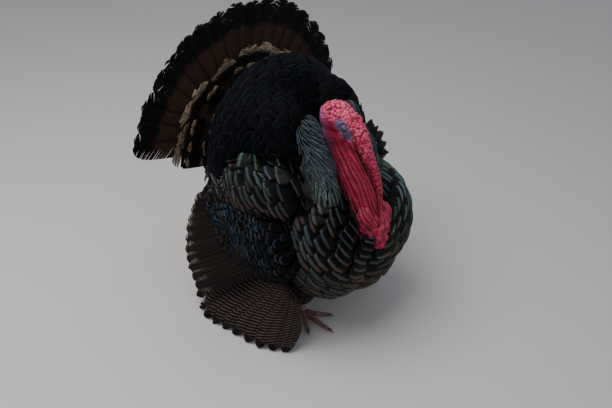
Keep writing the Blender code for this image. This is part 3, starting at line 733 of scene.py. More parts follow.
HEAD_SPINE = (
    (0.0, -0.104, 0.606),
    (0.0, -0.112, 0.572),
    (0.0, -0.142, 0.515),
    (-0.005, -0.177, 0.460),
    (-0.012, -0.207, 0.398),
    (-0.017, -0.240, 0.355),
    (-0.018, -0.257, 0.330),
)
NECK_MASSES = [
    (centre, (width * 0.93, depth * 0.93, depth * 0.93))
    for centre, width, depth in zip(
        smooth_curve(NECK_PATH, 15),
        smooth_curve(np.array(NECK_HALF_WIDTH)[:, None], 15)[:, 0],
        smooth_curve(np.array(NECK_HALF_DEPTH)[:, None], 15)[:, 0],
    )
]
LORE_SIDE = [((-0.0125, -0.158, 0.557), (0.0090, 0.017, 0.026))]
BARE_MASSES = HEAD_MASSES + LORE_SIDE + mirrored(LORE_SIDE) + NECK_MASSES + CARUNCLE_MASSES
BARE = Form((0.0, -0.108, 0.590), BARE_MASSES, 16.0)
CAP_SHARE = 0.26  # the share of the head's spine whose rays round its top
GRAIN, FINE_GRAIN, KNOB, KNOB_GRAIN = 0.0074, 0.0034, 0.0165, 0.0062
SKIN_RING, SKIN_ROWS = 272, 310
EYE_ROWS, EYE_RING = 40, 48
LID_ROWS, LID_RING = 24, 72


def spread(coarse, rows, columns):
    """A coarse grid that wraps across, read straight between its points on a finer one."""
    row = np.linspace(0.0, coarse.shape[0] - 1.0, rows)
    column = np.arange(columns) / columns * coarse.shape[1]
    r, c = np.minimum(row.astype(int), coarse.shape[0] - 2), column.astype(int)
    fr, fc = (row - r)[:, None], (column - c)[None, :]
    right = (c + 1) % coarse.shape[1]
    top = coarse[r][:, c] * (1 - fc) + coarse[r][:, right] * fc
    low = coarse[r + 1][:, c] * (1 - fc) + coarse[r + 1][:, right] * fc
    return top * (1 - fr) + low * fr


def capsule_rays(spine, rows, columns, cap):
    """Eyes along a spine and the rays from them: up at its start, across it, and down at its end."""
    share = np.linspace(0.0, 1.0, rows)
    begun = np.clip(share / cap, 0.0, 1.0)
    ended = np.clip((share - 1.0 + cap * 0.6) / (cap * 0.6), 0.0, 1.0)
    polar = (0.5 * math.pi * (begun + ended))[:, None, None]
    fine = smooth_curve(spine, 201)
    move = np.clip((share - 0.5 * cap) / (1.0 - 0.8 * cap), 0.0, 1.0) * 200
    eye, along = (
        np.stack([np.interp(move, np.arange(201), values[:, k]) for k in range(3)], -1)[:, None]
        for values in (fine, unit(np.gradient(fine, axis=0)))
    )
    outward = circle(turns(columns)[None, :, None], X_AXIS, unit(np.cross(X_AXIS, along)))
    return eye, circle(polar, -along, outward)


def normals_of(grid):
    """Unit normals of a grid that wraps across, pointing the way (across x along) points."""
    along = np.gradient(grid, axis=0)
    across = np.roll(grid, -1, axis=1) - np.roll(grid, 1, axis=1)
    return unit(np.cross(across, along) + 1e-12)


def bare_surface(rows, columns):
    """The bare head and neck before their folds: where the spine's rays leave the form."""
    eye, ray = capsule_rays(HEAD_SPINE, 66, 44, CAP_SHARE)
    steps = np.linspace(0.0, 0.085, 35)
    level = BARE.level(eye[:, :, None] + ray[:, :, None] * steps[:, None])
    last = steps.size - 1 - np.argmax(level[..., ::-1] < 0.0, axis=-1)
    radius = spread(steps[last] + 0.5 * steps[1], rows, columns)
    eye, ray = capsule_rays(HEAD_SPINE, rows, columns, CAP_SHARE)
    for _ in range(6):
        base = BARE.level(eye + ray * radius[..., None])
        slope = (BARE.level(eye + ray * (radius + 2e-4)[..., None]) - base) / 2e-4
        radius = radius - np.clip(base / np.maximum(slope, 4.0), -0.004, 0.004)
    return eye + ray * radius[..., None]


GROOVE = (
    (-0.0060, -0.1760, 0.5400),
    (-0.0081, -0.1894, 0.5206),
    (-0.0077, -0.2060, 0.4990),
    (-0.0047, -0.2238, 0.4698),
    (-0.0057, -0.2394, 0.4347),
    (-0.0158, -0.2542, 0.4029),
    (-0.0304, -0.2684, 0.3799),
)
SLIT = unit(np.array((0.0, -0.62, -0.78)))
CRIMSON = np.array((0.270, 0.007, 0.030))
# Pink laid on the tops of grains, fold ridges and knobs: partly the skin's own paler pink, partly painted
# highlight.
PINK_AND_HIGHLIGHT = np.array((0.560, 0.050, 0.115))
# Painted highlight: a whiter pink on the highest grain tops.
ROSE_HIGHLIGHT = np.array((0.700, 0.180, 0.270))
# Painted shade: the dark red laid in the hollows between grains, folds, knobs and rings, and in the groove
# under the snood.
CREVICE_SHADE = np.array((0.060, 0.001, 0.008))
VIOLET = np.array((0.270, 0.130, 0.300))
SLATE = np.array((0.105, 0.098, 0.180))


def toward(tones, other, share):
    """The tones moved towards the other tone by the share."""
    return tones + (other - tones) * share[..., None]


def nearest(points, path):
    """The distance from each point to a path sampled closely."""
    samples = smooth_curve(path, 90)
    flat = points.reshape(-1, 3)
    best = np.full(len(flat), 1.0)
    for spot in samples:
        best = np.minimum(best, np.linalg.norm(flat - spot, axis=1))
    return best.reshape(points.shape[:-1])


def eye_frame(side):
    """The eye's centre, its outward axis, and its axes along and over the slit."""
    flip = np.array((side, 1.0, 1.0))
    centre, outward = EYE_PLACE * flip, unit(np.array((-0.965, -0.215, 0.150)) * flip)
    along = unit(SLIT - outward * (SLIT * outward).sum())
    return centre, outward, along, np.cross(outward, along) * side


def head_skin(rows=SKIN_ROWS, columns=SKIN_RING):
    """The bare head and neck: the form raised along its normals by grains, folds, knobs and lids.

    Grains cover the crown, brow and front; on the neck |sin| of the turn, warped by noise, gives
    the long folds; cells give the knobs at the lower end; a groove follows the snood. In the tone,
    the pale tops of grains and knobs are partly the skin's own pink and partly painted highlight,
    the pale fold tops are painted highlight, and the hollows, the groove and the ear opening are
    painted shade.
    """
    grid = bare_surface(rows, columns)
    normal = normals_of(grid)
    normal = normal * np.sign((normal * (grid - grid.mean(1, keepdims=True))).sum())
    x, y, z = grid[..., 0], grid[..., 1], grid[..., 2]
    turn = turns(columns)[None, :]
    down = (0.64 - z) / 0.33

    wander = 0.010 * (soft_noise(grid, 0.02, 1.0) - 0.5)
    crown = ease(0.598, 0.618, z + wander)
    brow = ease(-0.124, -0.146, y + wander) * ease(0.560, 0.580, z)
    front = ease(0.016, 0.008, np.abs(x)) * ease(-0.15, -0.17, y) * ease(0.50, 0.54, z)
    grainy = np.clip(crown + brow + front, 0.0, 1.0)
    grain = pebbles(grid + 0.0024 * soft_noise(grid, 0.010, 4.0)[..., None], GRAIN, 2.0)
    fine_grain = pebbles(grid, FINE_GRAIN, 7.0)

    round_line = together(np.cos(turn), np.sin(turn), down * 1.5)
    from_nape = np.arccos(np.clip(np.cos(turn - 0.5 * math.pi), -1.0, 1.0))
    lean = from_nape - 1.35 * down
    warp = 3.6 * (soft_noise(round_line, 0.60, 3.0) - 0.5)
    warp = warp + 2.4 * (soft_noise(round_line, 0.24, 5.0) - 0.5)
    fold = np.abs(np.sin(13.0 * lean + warp)) ** 0.80
    minor = np.abs(np.sin(31.0 * lean + 2.2 * warp + 1.0)) ** 0.8
    neck = ease(0.592, 0.560, z + wander) * (1.0 - 0.45 * ease(0.360, 0.335, z))

    beside = grid - together(np.sign(x) * -EYE_PLACE[0], *EYE_PLACE[1:])
    side_on = ease(0.012, 0.020, np.abs(x))
    away = np.linalg.norm(beside, axis=-1) + (1.0 - side_on) * 0.1
    patch = np.exp(-((away / 0.0140) ** 4))
    for offset, size in (((0.0, -0.011, -0.017), 0.0145), ((0.0, 0.013, 0.008), 0.0130)):
        patch = patch + np.exp(-((np.linalg.norm(beside - np.array(offset), axis=-1) / size) ** 4))
    patch = np.clip(patch, 0.0, 1.0) * side_on
    ear = np.linalg.norm(beside - np.array((0.0, 0.031, 0.002)), axis=-1) + (1.0 - side_on) * 0.1
    ear_patch = np.exp(-((ear / 0.0090) ** 4))

    cheek = (1.0 - grainy) * (1.0 - neck)
    knobs = ease(0.405, 0.375, z) * ease(-0.205, -0.225, y)
    height = grainy * (0.0060 * grain + 0.0012 * fine_grain - 0.0034)
    height = height + neck * (1.0 - 0.6 * knobs) * (0.0042 * fold + 0.0013 * minor - 0.0032)
    height = height + 0.0018 * (soft_noise(grid, 0.016, 11.0) - 0.5) * neck
    height = height + cheek * (0.0016 * fine_grain - 0.0006)
    lumps = pebbles(grid, KNOB, 5.0)
    knob_grain = pebbles(grid, KNOB_GRAIN, 8.0)
    height = height + knobs * (0.0080 * lumps + 0.0018 * knob_grain - 0.0075)
    strip = nearest(grid, GROOVE)
    groove = np.exp(-((strip / 0.0046) ** 2))
    height = height * (1.0 - 0.85 * patch) - 0.0085 * groove
    wrinkle = np.sin(away * FULL_TURN / 0.0034 + 2.0 * soft_noise(grid, 0.008, 12.0))
    height = height + patch * (0.00045 * wrinkle + 0.0006 * (soft_noise(grid, 0.005, 31.0) - 0.5))
    height = height - 0.0026 * np.exp(-((ear / 0.0030) ** 2))
    height = height + 0.0010 * np.exp(-(((ear - 0.0055) / 0.002) ** 2))
    height = height - 0.0026 * np.exp(-((away / 0.0110) ** 4))
    brow_ridge = np.exp(-(((away - 0.0135) / 0.0022) ** 2))
    height = height + 0.0016 * brow_ridge * ease(-0.002, 0.006, beside[..., 2])
    surface = grid + normal * height[..., None]

    tone = CRIMSON + 0.0 * grid
    # Grain tops: partly the crown's own pink and partly painted highlight; the whiter rose on the highest
    # tops is painted highlight.
    bright = grainy * np.clip(0.95 * grain**2.0 + 0.15 * fine_grain, 0.0, 1.0)
    tone = toward(tone, PINK_AND_HIGHLIGHT, bright)
    # Painted shade between the grains.
    tone = toward(tone, CREVICE_SHADE, grainy * np.clip(1.15 - 1.9 * grain, 0.0, 0.95))
    tone = toward(tone, ROSE_HIGHLIGHT, grainy * ease(0.60, 1.0, grain) * soft_noise(grid, 0.012, 27.0))
    # Painted highlight on the tops of the neck's folds.
    ridge = fold**2.5 * soft_noise(grid, 0.022, 13.0)
    tone = toward(tone, PINK_AND_HIGHLIGHT, neck * 0.55 * ridge)
    # Painted shade in the neck's fold creases and in the minor folds' troughs.
    crease_shade = neck * np.clip(1.0 - 1.5 * fold, 0.0, 1.0)
    tone = toward(tone, CREVICE_SHADE, np.clip(0.75 * crease_shade + 0.30 * neck * (1.0 - minor), 0.0, 0.95))
    # Painted shadow of the snood: the groove is darkened almost to black.
    tone = toward(tone, 0.4 * CREVICE_SHADE, 0.97 * groove)
    # Knob tops: partly the caruncles' own pink and partly painted highlight.
    tone = toward(tone, PINK_AND_HIGHLIGHT, knobs * 0.45 * lumps * knob_grain)
    # Painted shade between the knobs.
    tone = toward(tone, CREVICE_SHADE, knobs * np.clip(0.7 - 1.6 * lumps, 0.0, 0.7))
    nape = ease(-0.118, -0.088, y + 0.30 * (0.58 - z)) * ease(0.45, 0.54, z) * ease(0.630, 0.610, z)
    tone = toward(tone, VIOLET, nape * (0.25 + 0.75 * soft_noise(grid, 0.009, 15.0)) * 0.80)
    tone = toward(tone, SLATE, patch * (0.84 + 0.16 * soft_noise(grid, 0.006, 17.0)))
    tone = toward(tone, 0.6 * VIOLET + 0.4 * SLATE, ear_patch * 0.75)
    # Painted shade: near black in the ear opening, deeper than its shallow pit.
    tone = toward(tone, np.zeros(3), 0.9 * np.exp(-((ear / 0.0026) ** 2)))
    tone = tone * (0.86 + 0.28 * soft_noise(grid, 0.010, 19.0))[..., None]
    crisp = together(lean, neck * (1.0 - patch) * (1.0 - 0.7 * knobs))
    return surface, tone, together(turn / FULL_TURN, down), crisp


def snood_skin(rows=150, columns=56):
    """The snood: a round tapering tube along its path, with a rounded end, grains and rings. Its
    grain tops are partly its own pink and partly painted highlight; the hollows between grains and
    the rings' troughs are painted shade.
    """
    path = smooth_curve(SNOOD_PATH, rows)
    radius = smooth_curve(np.array(SNOOD_RADIUS)[:, None], rows)[:, 0]
    share = np.linspace(0.0, 1.0, rows)
    radius = radius * np.sqrt(np.clip(1.0 - ease(0.93, 1.0, share) ** 2, 0.0, 1.0)) + 1e-5
    radius = radius * (1.0 + 0.35 * ease(0.14, 0.0, share))
    tangent = unit(np.gradient(path, axis=0))
    side = unit(np.cross(tangent, (0.0, -1.0, 0.3)))
    front = np.cross(side, tangent)
    turn = turns(columns)[None, :, None]
    outward = circle(turn, side[:, None], front[:, None])
    grid = path[:, None] + outward * radius[:, None, None]
    grain = pebbles(grid + 0.0020 * soft_noise(grid, 0.010, 24.0)[..., None], 0.0060, 21.0)
    fine_grain = pebbles(grid, 0.0032, 23.0)
    ring = np.abs(np.sin(share[:, None] * 60.0 + 3.0 * soft_noise(grid, 0.01, 22.0)))
    lower = ease(0.45, 0.75, share)[:, None]
    fade = np.clip(radius / 0.006, 0.0, 1.0)[:, None]
    height = (1.0 - lower) * (0.0040 * grain + 0.0010 * fine_grain)
    height = height + lower * (0.0016 * ring + 0.0010 * grain)
    surface = grid + outward * (fade * (height - 0.0016))[..., None]
    tone = CRIMSON + 0.0 * grid
    # Grain tops: partly the snood's own pink and partly painted highlight; the rose on the highest tops is
    # painted highlight.
    tone = toward(tone, PINK_AND_HIGHLIGHT, np.clip(0.85 * grain**2.0, 0.0, 1.0) * (1.0 - 0.55 * lower))
    highlight_share = 0.8 * ease(0.60, 1.0, grain) * soft_noise(grid, 0.012, 27.0)
    tone = toward(tone, ROSE_HIGHLIGHT, highlight_share * (1.0 - 0.6 * lower))
    # Painted shade between the grains and in the rings' troughs.
    between = np.clip(1.05 - 1.8 * grain, 0.0, 0.90) * (1.0 - 0.5 * lower)
    tone = toward(tone, CREVICE_SHADE, between + 0.35 * lower * (1 - ring))
    tone = tone * (0.86 + 0.28 * soft_noise(grid, 0.010, 25.0))[..., None]
    return surface, tone, together(turn[..., 0] / FULL_TURN, share[:, None])


def body_skin(rows=60, columns=72, depth=0.020):
    """The skin under the feathers: the union of every feathered form, taken in by the coat's depth."""
    centres = np.concatenate([form.centres for form in FORMS.values()])
    axes = np.concatenate([form.axes for form in FORMS.values()])
    whole = Form((0.0, 0.03, 0.36), list(zip(centres, axes)))
    polar = np.linspace(0.001, math.pi - 0.001, rows)[:, None, None]
    turn = turns(columns)[None, :, None]
    grid = whole.surface(circle(polar, Z_AXIS, circle(turn, X_AXIS, Y_AXIS)))
    for _ in range(3):
        away, normal = whole.outside(grid)
        grid = grid - normal * (away + depth)[..., None]
    grid[..., 2] = np.maximum(grid[..., 2], 0.02)
    tone = np.broadcast_to(np.array((0.020, 0.016, 0.015)), grid.shape)
    return grid, tone, np.zeros((rows, columns, 2))


def outward_quads(points, quads):
    """The quads turned, if need be, so that the volume they close is positive."""
    corners = points[quads]
    centre = points.mean(0)
    normal = np.cross(corners[:, 2] - corners[:, 0], corners[:, 3] - corners[:, 1])
    volume = (normal * (corners.mean(1) - centre)).sum()
    return quads if volume > 0.0 else quads[:, ::-1]


def closed_quads(rows, columns):
    """The quads of a wrapped grid, with strips that close its first and its last ring."""
    k = np.arange(columns // 2 - 1)
    first = np.stack([k, k + 1, columns - 2 - k, columns - 1 - k], -1)
    return np.concatenate([grid_quads(rows, columns, True), first[:, ::-1], first + (rows - 1) * columns])


def join_grids(name, grids):
    """One mesh from wrapped grids of points, tones and strips, each closed at both its ends.

    Only the first grid may carry a fourth array, of the folds' lean and strength.
    """
    quads, begun = [], 0
    for grid in grids:
        points = grid[0]
        rows, columns = points.shape[:2]
        quads.append(outward_quads(points.reshape(-1, 3), closed_quads(rows, columns)) + begun)
        begun += rows * columns
    points, tones, strips = (
        np.concatenate([grid[k].reshape(-1, grid[k].shape[-1]) for grid in grids]) for k in range(3)
    )
    crisp = np.zeros((begun, 2))
    if len(grids[0]) > 3:
        folds = grids[0][3].reshape(-1, 2)
        crisp[: len(folds)] = folds
    return mesh_object(name, points, np.concatenate(quads), uv=strips, colours={"tone": tones},
                       values={"lean": crisp[:, 0], "folded": crisp[:, 1]})


def make_skin():
    """One skin: the bare head and neck, the snood and the body under its feathers."""
    skin = join_grids("skin", [head_skin(), snood_skin(), body_skin()])
    return dress(skin, BARE_SKIN, "bare_skin", "neck", "head", "snood", "caruncles")


def skin_finish():
    """Bare skin in its own tones, with pores, fine cross wrinkles, a moist sheen and painted shade in
    the fold creases.
    """
    shader = Shader("bare_skin")
    place = shader.place()
    pores = shader.noise(place, 700.0, 2.0)
    blotch = shader.noise(place, 110.0, 3.0)
    wander = shader.noise(place, 60.0, 2.0)
    run = shader.vane()[1]
    folded = shader.attribute("folded")
    lines = shader.line(run, 620.0, shader.times(wander, 14.0))
    fainter = shader.line(folded, 0.75, 0.25)
    lines = shader.times(shader.math("SINE", lines), fainter)
    tone = shader.attribute("tone", "Color")
    shade = shader.line(blotch, 0.36, 0.82)
    colour = shader.shaded(tone, shade)
    shift = shader.times(wander, 22.0)
    folds = shader.line(shader.attribute("lean"), 62.0, shift)
    folds = shader.times(shader.math("SINE", folds), folded)
    # Painted shade: the fold creases darkened towards a deep red.
    crease_shade = shader.between(folds, -0.1, -0.9)
    colour = shader.mix(shader.times(crease_shade, 0.55), colour, (0.050, 0.001, 0.006))
    shader.set(Base_Color=colour, Roughness=shader.line(blotch, 0.22, 0.36))
    shader.set(Specular_IOR_Level=0.28)
    relief = shader.math("ADD", shader.line(lines, 0.30, pores), blotch)
    relief = shader.line(folds, 0.8, relief)
    shader.bump(relief, 0.45, 0.0009)
    return shader.material


def make_eye(side, name, node):
    """An eyeball: a ball with a raised front; its attribute is the polar angle from that front."""
    centre, outward, along, over = eye_frame(side)
    angle = np.linspace(0.0, math.pi, EYE_ROWS)[:, None, None]
    ray = circle(angle, outward, circle(turns(EYE_RING)[None, :, None], along, over))
    radius = EYE_RADIUS * (1.0 + 0.05 * np.exp(-((angle / 0.55) ** 4)))
    points = (centre + ray * radius).reshape(-1, 3)
    quads = closed_quads(EYE_ROWS, EYE_RING)
    polar = np.repeat(angle.ravel(), EYE_RING)
    ball = mesh_object(name, points, outward_quads(points, quads), values={"polar": polar})
    shader = Shader("eye")
    ring = shader.attribute("polar")
    iris = shader.mix(shader.between(ring, 0.24, 0.28), (0.004, 0.003, 0.003), (0.085, 0.036, 0.014))
    colour = shader.mix(shader.between(ring, 0.66, 0.74), iris, (0.012, 0.010, 0.010))
    shader.set(Base_Color=colour, Roughness=0.12, Coat_Weight=1.0, Coat_Roughness=0.03)
    return dress(ball, shader.material, "eye", node)


def make_lids(side, name):
    """The lids: a thin shell round the eyeball, from the slit's almond edge back into the socket."""
    centre, outward, along, over = eye_frame(side)
    turn = turns(LID_RING)[None, :, None]
    step = np.linspace(0.0, 1.0, LID_ROWS)[:, None, None]
    edge = 1.0 / np.sqrt((np.cos(turn) / 0.86) ** 2 + (np.sin(turn) / 0.24) ** 2)
    ray = circle(edge + (1.75 - edge) * step**1.15, outward, circle(turn, along, over))
    wrinkle = 0.00022 * np.sin(step * 26.0 + 1.5 * np.sin(3.0 * turn)) * ease(0.05, 0.2, step)
    rim = 0.00075 * np.exp(-((step / 0.07) ** 2))
    outer = centre + ray * (EYE_RADIUS * 1.135 + rim + wrinkle)
    inner = centre + ray[::-1] * (EYE_RADIUS * 1.06)
    grid = np.concatenate([outer, inner])
    points = grid.reshape(-1, 3)
    ring = np.arange(LID_RING)
    after, last = (ring + 1) % LID_RING, len(points) - LID_RING
    seam = np.stack([last + ring, last + after, after, ring], -1)
    quads = np.concatenate([grid_quads(2 * LID_ROWS, LID_RING, True), seam])
    tone = SLATE * (0.62 + 0.5 * soft_noise(grid, 0.003, 41.0))[..., None]
    # Painted shade: the lid rows at the slit's edge darkened, deepening the slit.
    tone[:3] *= 0.45
    lids = mesh_object(name, points, outward_quads(points, quads), colours={"tone": tone.reshape(-1, 3)})
    return dress(lids, BARE_SKIN, "bare_skin")


BARE_SKIN = skin_finish()
make_skin()
for side, flip in (("right", 1.0), ("left", -1.0)):
    make_eye(flip, f"eyeball_{side}", f"eye_{side}")
for side, flip in (("right", 1.0), ("left", -1.0)):
    make_lids(flip, f"eyelids_{side}")


# ---------------------------------------------------------------- bill, legs, claws and spurs
HORN_PALE = np.array((0.300, 0.205, 0.150))
HORN_DARK = np.array((0.055, 0.038, 0.032))
SCUTE = np.array((0.270, 0.140, 0.112))
SCALE_CREASE = np.array((0.075, 0.036, 0.030))
FEET = {"right": (-0.084, -0.067), "left": (0.070, 0.030)}
SCALE_SIZE = 0.0030
SPUR_LENGTH, CLAW_LENGTH = 0.018, 0.017
SPUR_RISE = 0.27  # how far up the shank the spur stands
HOCK_HEIGHT = 0.150
HOCK_BACK = 0.052
ANKLE_HEIGHT = 0.0110
TOES = (("middle", 0.0, 0.098), ("inner", 34.0, 0.072), ("outer", -36.0, 0.072), ("back", 172.0, 0.038))


def round_limb(path, radius, rows, columns, top):
    """Rings across a smooth path: centres, outward rays, radii with rounded ends, and shares along."""
    centre = smooth_curve(path, rows)
    share = np.linspace(0.0, 1.0, rows)
    reach = smooth_curve(np.array(radius, float)[:, None], rows)[:, 0]
    ends = np.clip(np.abs(share - 0.5) * 2.0, 0.94, 1.0)
    reach = reach * np.sqrt(np.clip(1.0 - ((ends - 0.94) / 0.061) ** 2, 0.0, 1.0))
    tangent = unit(np.gradient(centre, axis=0))
    side = unit(np.cross(tangent, top))
    crest = np.cross(side, tangent)
    turn = turns(columns)[None, :, None]
    return centre, circle(turn, side[:, None], crest[:, None]), reach, share, turn[..., 0]


def scaly_limb(path, radius, top, scutes, joints, rows=90, columns=32):
    """A scaled limb: stepped scutes along its crest, small round scales elsewhere, pads at its joints."""
    centre, outward, reach, share, turn = round_limb(path, radius, rows, columns, top)
    swell = 1.0 + 0.10 * np.cos(share * joints * FULL_TURN) * ease(1.0, 0.7, share)
    grid = centre[:, None] + outward * (reach * swell)[:, None, None]
    crest = ease(0.15, 0.60, np.sin(turn) + 0.0 * share[:, None])
    step = (share[:, None] * scutes + 0.10 * np.sin(turn * 2.0)) % 1.0
    edge = np.clip(step / 0.86, 0.0, 1.0) ** 1.3 * ease(1.0, 0.90, step)
    scale = pebbles(grid, SCALE_SIZE, 51.0)
    height = crest * 0.0009 * (edge - 0.3) + (1.0 - crest) * 0.0008 * (scale - 0.4)
    points = grid + outward * (height * np.clip(reach / 0.004, 0.0, 1.0)[:, None])[..., None]
    points[..., 2] = np.maximum(points[..., 2], 0.0)
    seam = crest * ease(0.16, 0.02, np.minimum(step, 1.0 - step))
    seam = seam + (1.0 - crest) * np.clip(0.9 - 1.6 * scale, 0.0, 0.9)
    tone = SCUTE * (0.80 + 0.40 * soft_noise(grid, 0.012, 52.0))[..., None]
    tone = toward(tone, SCALE_CREASE, np.clip(seam, 0.0, 1.0))
    return points, tone, together(turn / FULL_TURN, share[:, None])


def horn_limb(path, radius, top, rows=28, columns=16):
    """A smooth horn: dark at its root, paler to its point."""
    centre, outward, reach, share, turn = round_limb(path, radius, rows, columns, top)
    points = centre[:, None] + outward * reach[:, None, None]
    points[..., 2] = np.maximum(points[..., 2], 0.0)
    tone = toward(np.broadcast_to(HORN_DARK, points.shape), HORN_PALE, 0.55 * share[:, None] ** 2)
    return points, tone, together(turn / FULL_TURN, share[:, None])


def make_leg(side):
    """One leg below its thigh feathers: shank and toes in scales, with claws and a spur of horn."""
    x, y = FEET[side]
    inward = -1.0 if x > 0.0 else 1.0
    foot = np.array((x, y, ANKLE_HEIGHT))
    hock = np.array((x, y + HOCK_BACK, HOCK_HEIGHT))
    ahead = np.array((0.0, -1.0, 0.3))
    path = (hock, 0.5 * (hock + foot) + np.array((0.0, -0.004, 0.0)), foot - 0.002 * Z_AXIS)
    scaly = [scaly_limb(path, (0.0105, 0.0078, 0.0098), ahead, 19.0, 1.0, rows=170, columns=40)]
    base = foot + (hock - foot) * SPUR_RISE
    point = base + np.array((inward * 0.4, 0.9, -0.1)) * SPUR_LENGTH
    path = (base, 0.5 * (base + point) - 0.001 * Z_AXIS, point)
    horny = [horn_limb(path, (0.0048, 0.0032, 0.0010), Z_AXIS)]
    for _, heading, length in TOES:
        turn = math.radians(heading) * inward
        onward = np.array((math.sin(turn), -math.cos(turn), 0.0))
        end = foot + onward * length - Z_AXIS * (ANKLE_HEIGHT - 0.0038)
        path = (foot - onward * 0.004, foot + onward * length * 0.38 - Z_AXIS * 0.0056, end)
        joints = 1.0 if heading > 90.0 else 3.0
        scaly.append(scaly_limb(path, (0.0078, 0.0070, 0.0054), Z_AXIS, length * 215.0, joints))
        tip = end + onward * CLAW_LENGTH - Z_AXIS * 0.0026
        start = end - onward * 0.003
        path = (start, start + onward * 0.010 + Z_AXIS * 0.0022, tip)
        horny.append(horn_limb(path, (0.0044, 0.0036, 0.0007), Z_AXIS))
    toes, claws = ([f"{kind}_{name}_{side}" for name, _, _ in TOES] for kind in ("toe", "claw"))
    dress(join_grids(f"leg_{side}", scaly), SCALES, "scaly_leg", f"shank_{side}", *toes)
    dress(join_grids(f"claws_{side}", horny), HORN, "horn", f"spur_{side}", *claws)


def bill_half(sign, reach, rows=48, columns=40):
    """Half a bill: a ridged dome over a flat bite edge; the upper one hooks over at its tip.

    The half width is W (1 - v^2.2)^0.55 and the height D (1 - 0.5 v) (1 - v^6)^0.5, with the
    dome raised to a ridge by |sin|^0.8, and the upper half carries a nostril slit on each side.
    """
    root, tip = np.array((0.0, -0.146, 0.580)), np.array((0.0, -0.178, 0.532))
    run = tip - root
    ridge = np.array((0.0, run[2], -run[1])) / np.linalg.norm(run)
    v = np.linspace(0.0, 1.0, rows)[:, None]
    turn = turns(columns)[None, :]
    half = 0.0098 * np.clip(1.0 - v**2.2, 0.0, 1.0) ** 0.55 + 0.0002
    tall = (0.0135 if sign > 0.0 else 0.0080) * (1.0 - 0.50 * v)
    tall = tall * np.clip(1.0 - v**6, 0.0, 1.0) ** 0.5 + 0.0003
    x = half * np.cos(turn)
    rise = tall * np.where(np.sin(turn) > 0.0, np.abs(np.sin(turn)) ** 0.8, -0.06 * np.abs(np.sin(turn)))
    slit = np.exp(-(((v - 0.26) / 0.085) ** 2) - ((rise / tall - 0.52) / 0.13) ** 2) * (sign > 0.0)
    x = x * (1.0 - 0.22 * slit)
    hook = 0.0042 * v**4 if sign > 0.0 else 0.0012 * v**2
    points = root + run * (v * reach)[..., None]
    points = points + ridge * (sign * (rise + 0.0004) - hook)[..., None] + X_AXIS * x[..., None]
    # Painted shade: the bill darkens towards its root, where it sits under the snood.
    tone = toward(np.broadcast_to(HORN_PALE, points.shape), HORN_DARK, 0.65 * ease(0.75, 0.05, v))
    # Painted shade: near black in the nostril slit.
    tone = toward(tone, np.zeros(3), 0.95 * slit**2)
    return points, tone, together(turn / FULL_TURN, v)


def toned_finish(name, scale, roughness, relief, coat):
    """Scales or horn in their own tones, with fine mottling and a soft sheen."""
    shader = Shader(name)
    place = shader.place()
    coarse, fine = shader.noise(place, scale, 3.0), shader.noise(place, scale * 6.0, 2.0)
    shade = shader.line(coarse, 0.50, 0.75)
    colour = shader.shaded(shader.attribute("tone", "Color"), shade)
    shader.set(Base_Color=colour, Roughness=shader.line(fine, 0.2, roughness - 0.1))
    shader.set(Specular_IOR_Level=0.35, Coat_Weight=coat, Coat_Roughness=0.25)
    shader.bump(shader.math("ADD", fine, coarse), 0.35, relief)
    return shader.material


SCALES = toned_finish("leg_scales", 160.0, 0.52, 0.0004, 0.0)
HORN = toned_finish("horn", 260.0, 0.38, 0.0002, 0.25)
bill = join_grids("bill", [bill_half(1.0, 1.0), bill_half(-1.0, 0.86)])
dress(bill, HORN, "horn", "bill_upper", "bill_lower")
for side in FEET:
    make_leg(side)




# ---------------------------------------------------------------- the body's contour feathers
BLACK = (0.0035, 0.0036, 0.0042)
BRONZE = np.array((0.085, 0.066, 0.046))
COPPER = np.array((0.110, 0.050, 0.030))
GREEN = np.array((0.042, 0.066, 0.052))
TEAL = np.array((0.032, 0.060, 0.068))
BLUE = np.array((0.026, 0.036, 0.062))
STEEL = np.array((0.058, 0.074, 0.090))
GREY_GREEN = np.array((0.060, 0.076, 0.068))
BROWN = np.array((0.030, 0.020, 0.016))


def blend_tones(first, second, share):
    return first * (1.0 - share[:, None]) + second * share[:, None]


def tone_jitter(tones, rng, spread=0.22):
    tones = tones * rng.uniform(1.0 - spread, 1.0 + spread, (len(tones), 1))
    return tones * rng.uniform(0.9, 1.1, tones.shape)


def breast_tone(spot, rng):
    """Bronze and green on the near breast, teal at the top, grey green towards the left side."""
    high = ease(0.26, 0.40, spot[:, 2])
    left = ease(-0.06, 0.10, spot[:, 0])
    wave = 0.5 + 0.5 * np.sin(spot[:, 0] * 61.0 + spot[:, 2] * 47.0 + spot[:, 1] * 39.0)
    tone = blend_tones(BRONZE, GREEN, wave)
    tone = blend_tones(tone, STEEL, high * 0.6)
    tone = blend_tones(tone, GREY_GREEN * 0.7, left * 0.8)
    tone = blend_tones(tone, TEAL * 3.0, ease(0.02, 0.10, spot[:, 0]) * ease(0.33, 0.42, spot[:, 2]))
    return tone_jitter(tone, rng)


def mantle_tone(spot, rng):
    """Black with a thin blue gleam."""
    tone = np.broadcast_to(BLUE * 0.42, spot.shape)
    return tone_jitter(tone, rng)


def scapular_tone(spot, rng):
    """Steel blue at the back, green in the middle, copper low down; dimmer at the rear and on the
    left side, as painted shade.
    """
    low = ease(0.50, 0.40, spot[:, 2])
    wave = 0.5 + 0.5 * np.sin(spot[:, 1] * 70.0 + spot[:, 2] * 55.0)
    tone = blend_tones(STEEL, GREEN * 1.2, wave)
    tone = blend_tones(tone, COPPER, low * 0.55)
    # Painted shade: the band's tone dimmed at the rear and on the left side.
    dim = 1.0 - 0.6 * np.maximum(ease(0.10, 0.14, spot[:, 1:2]), ease(0.0, 0.05, spot[:, :1]))
    return tone_jitter(tone * dim, rng, 0.3)


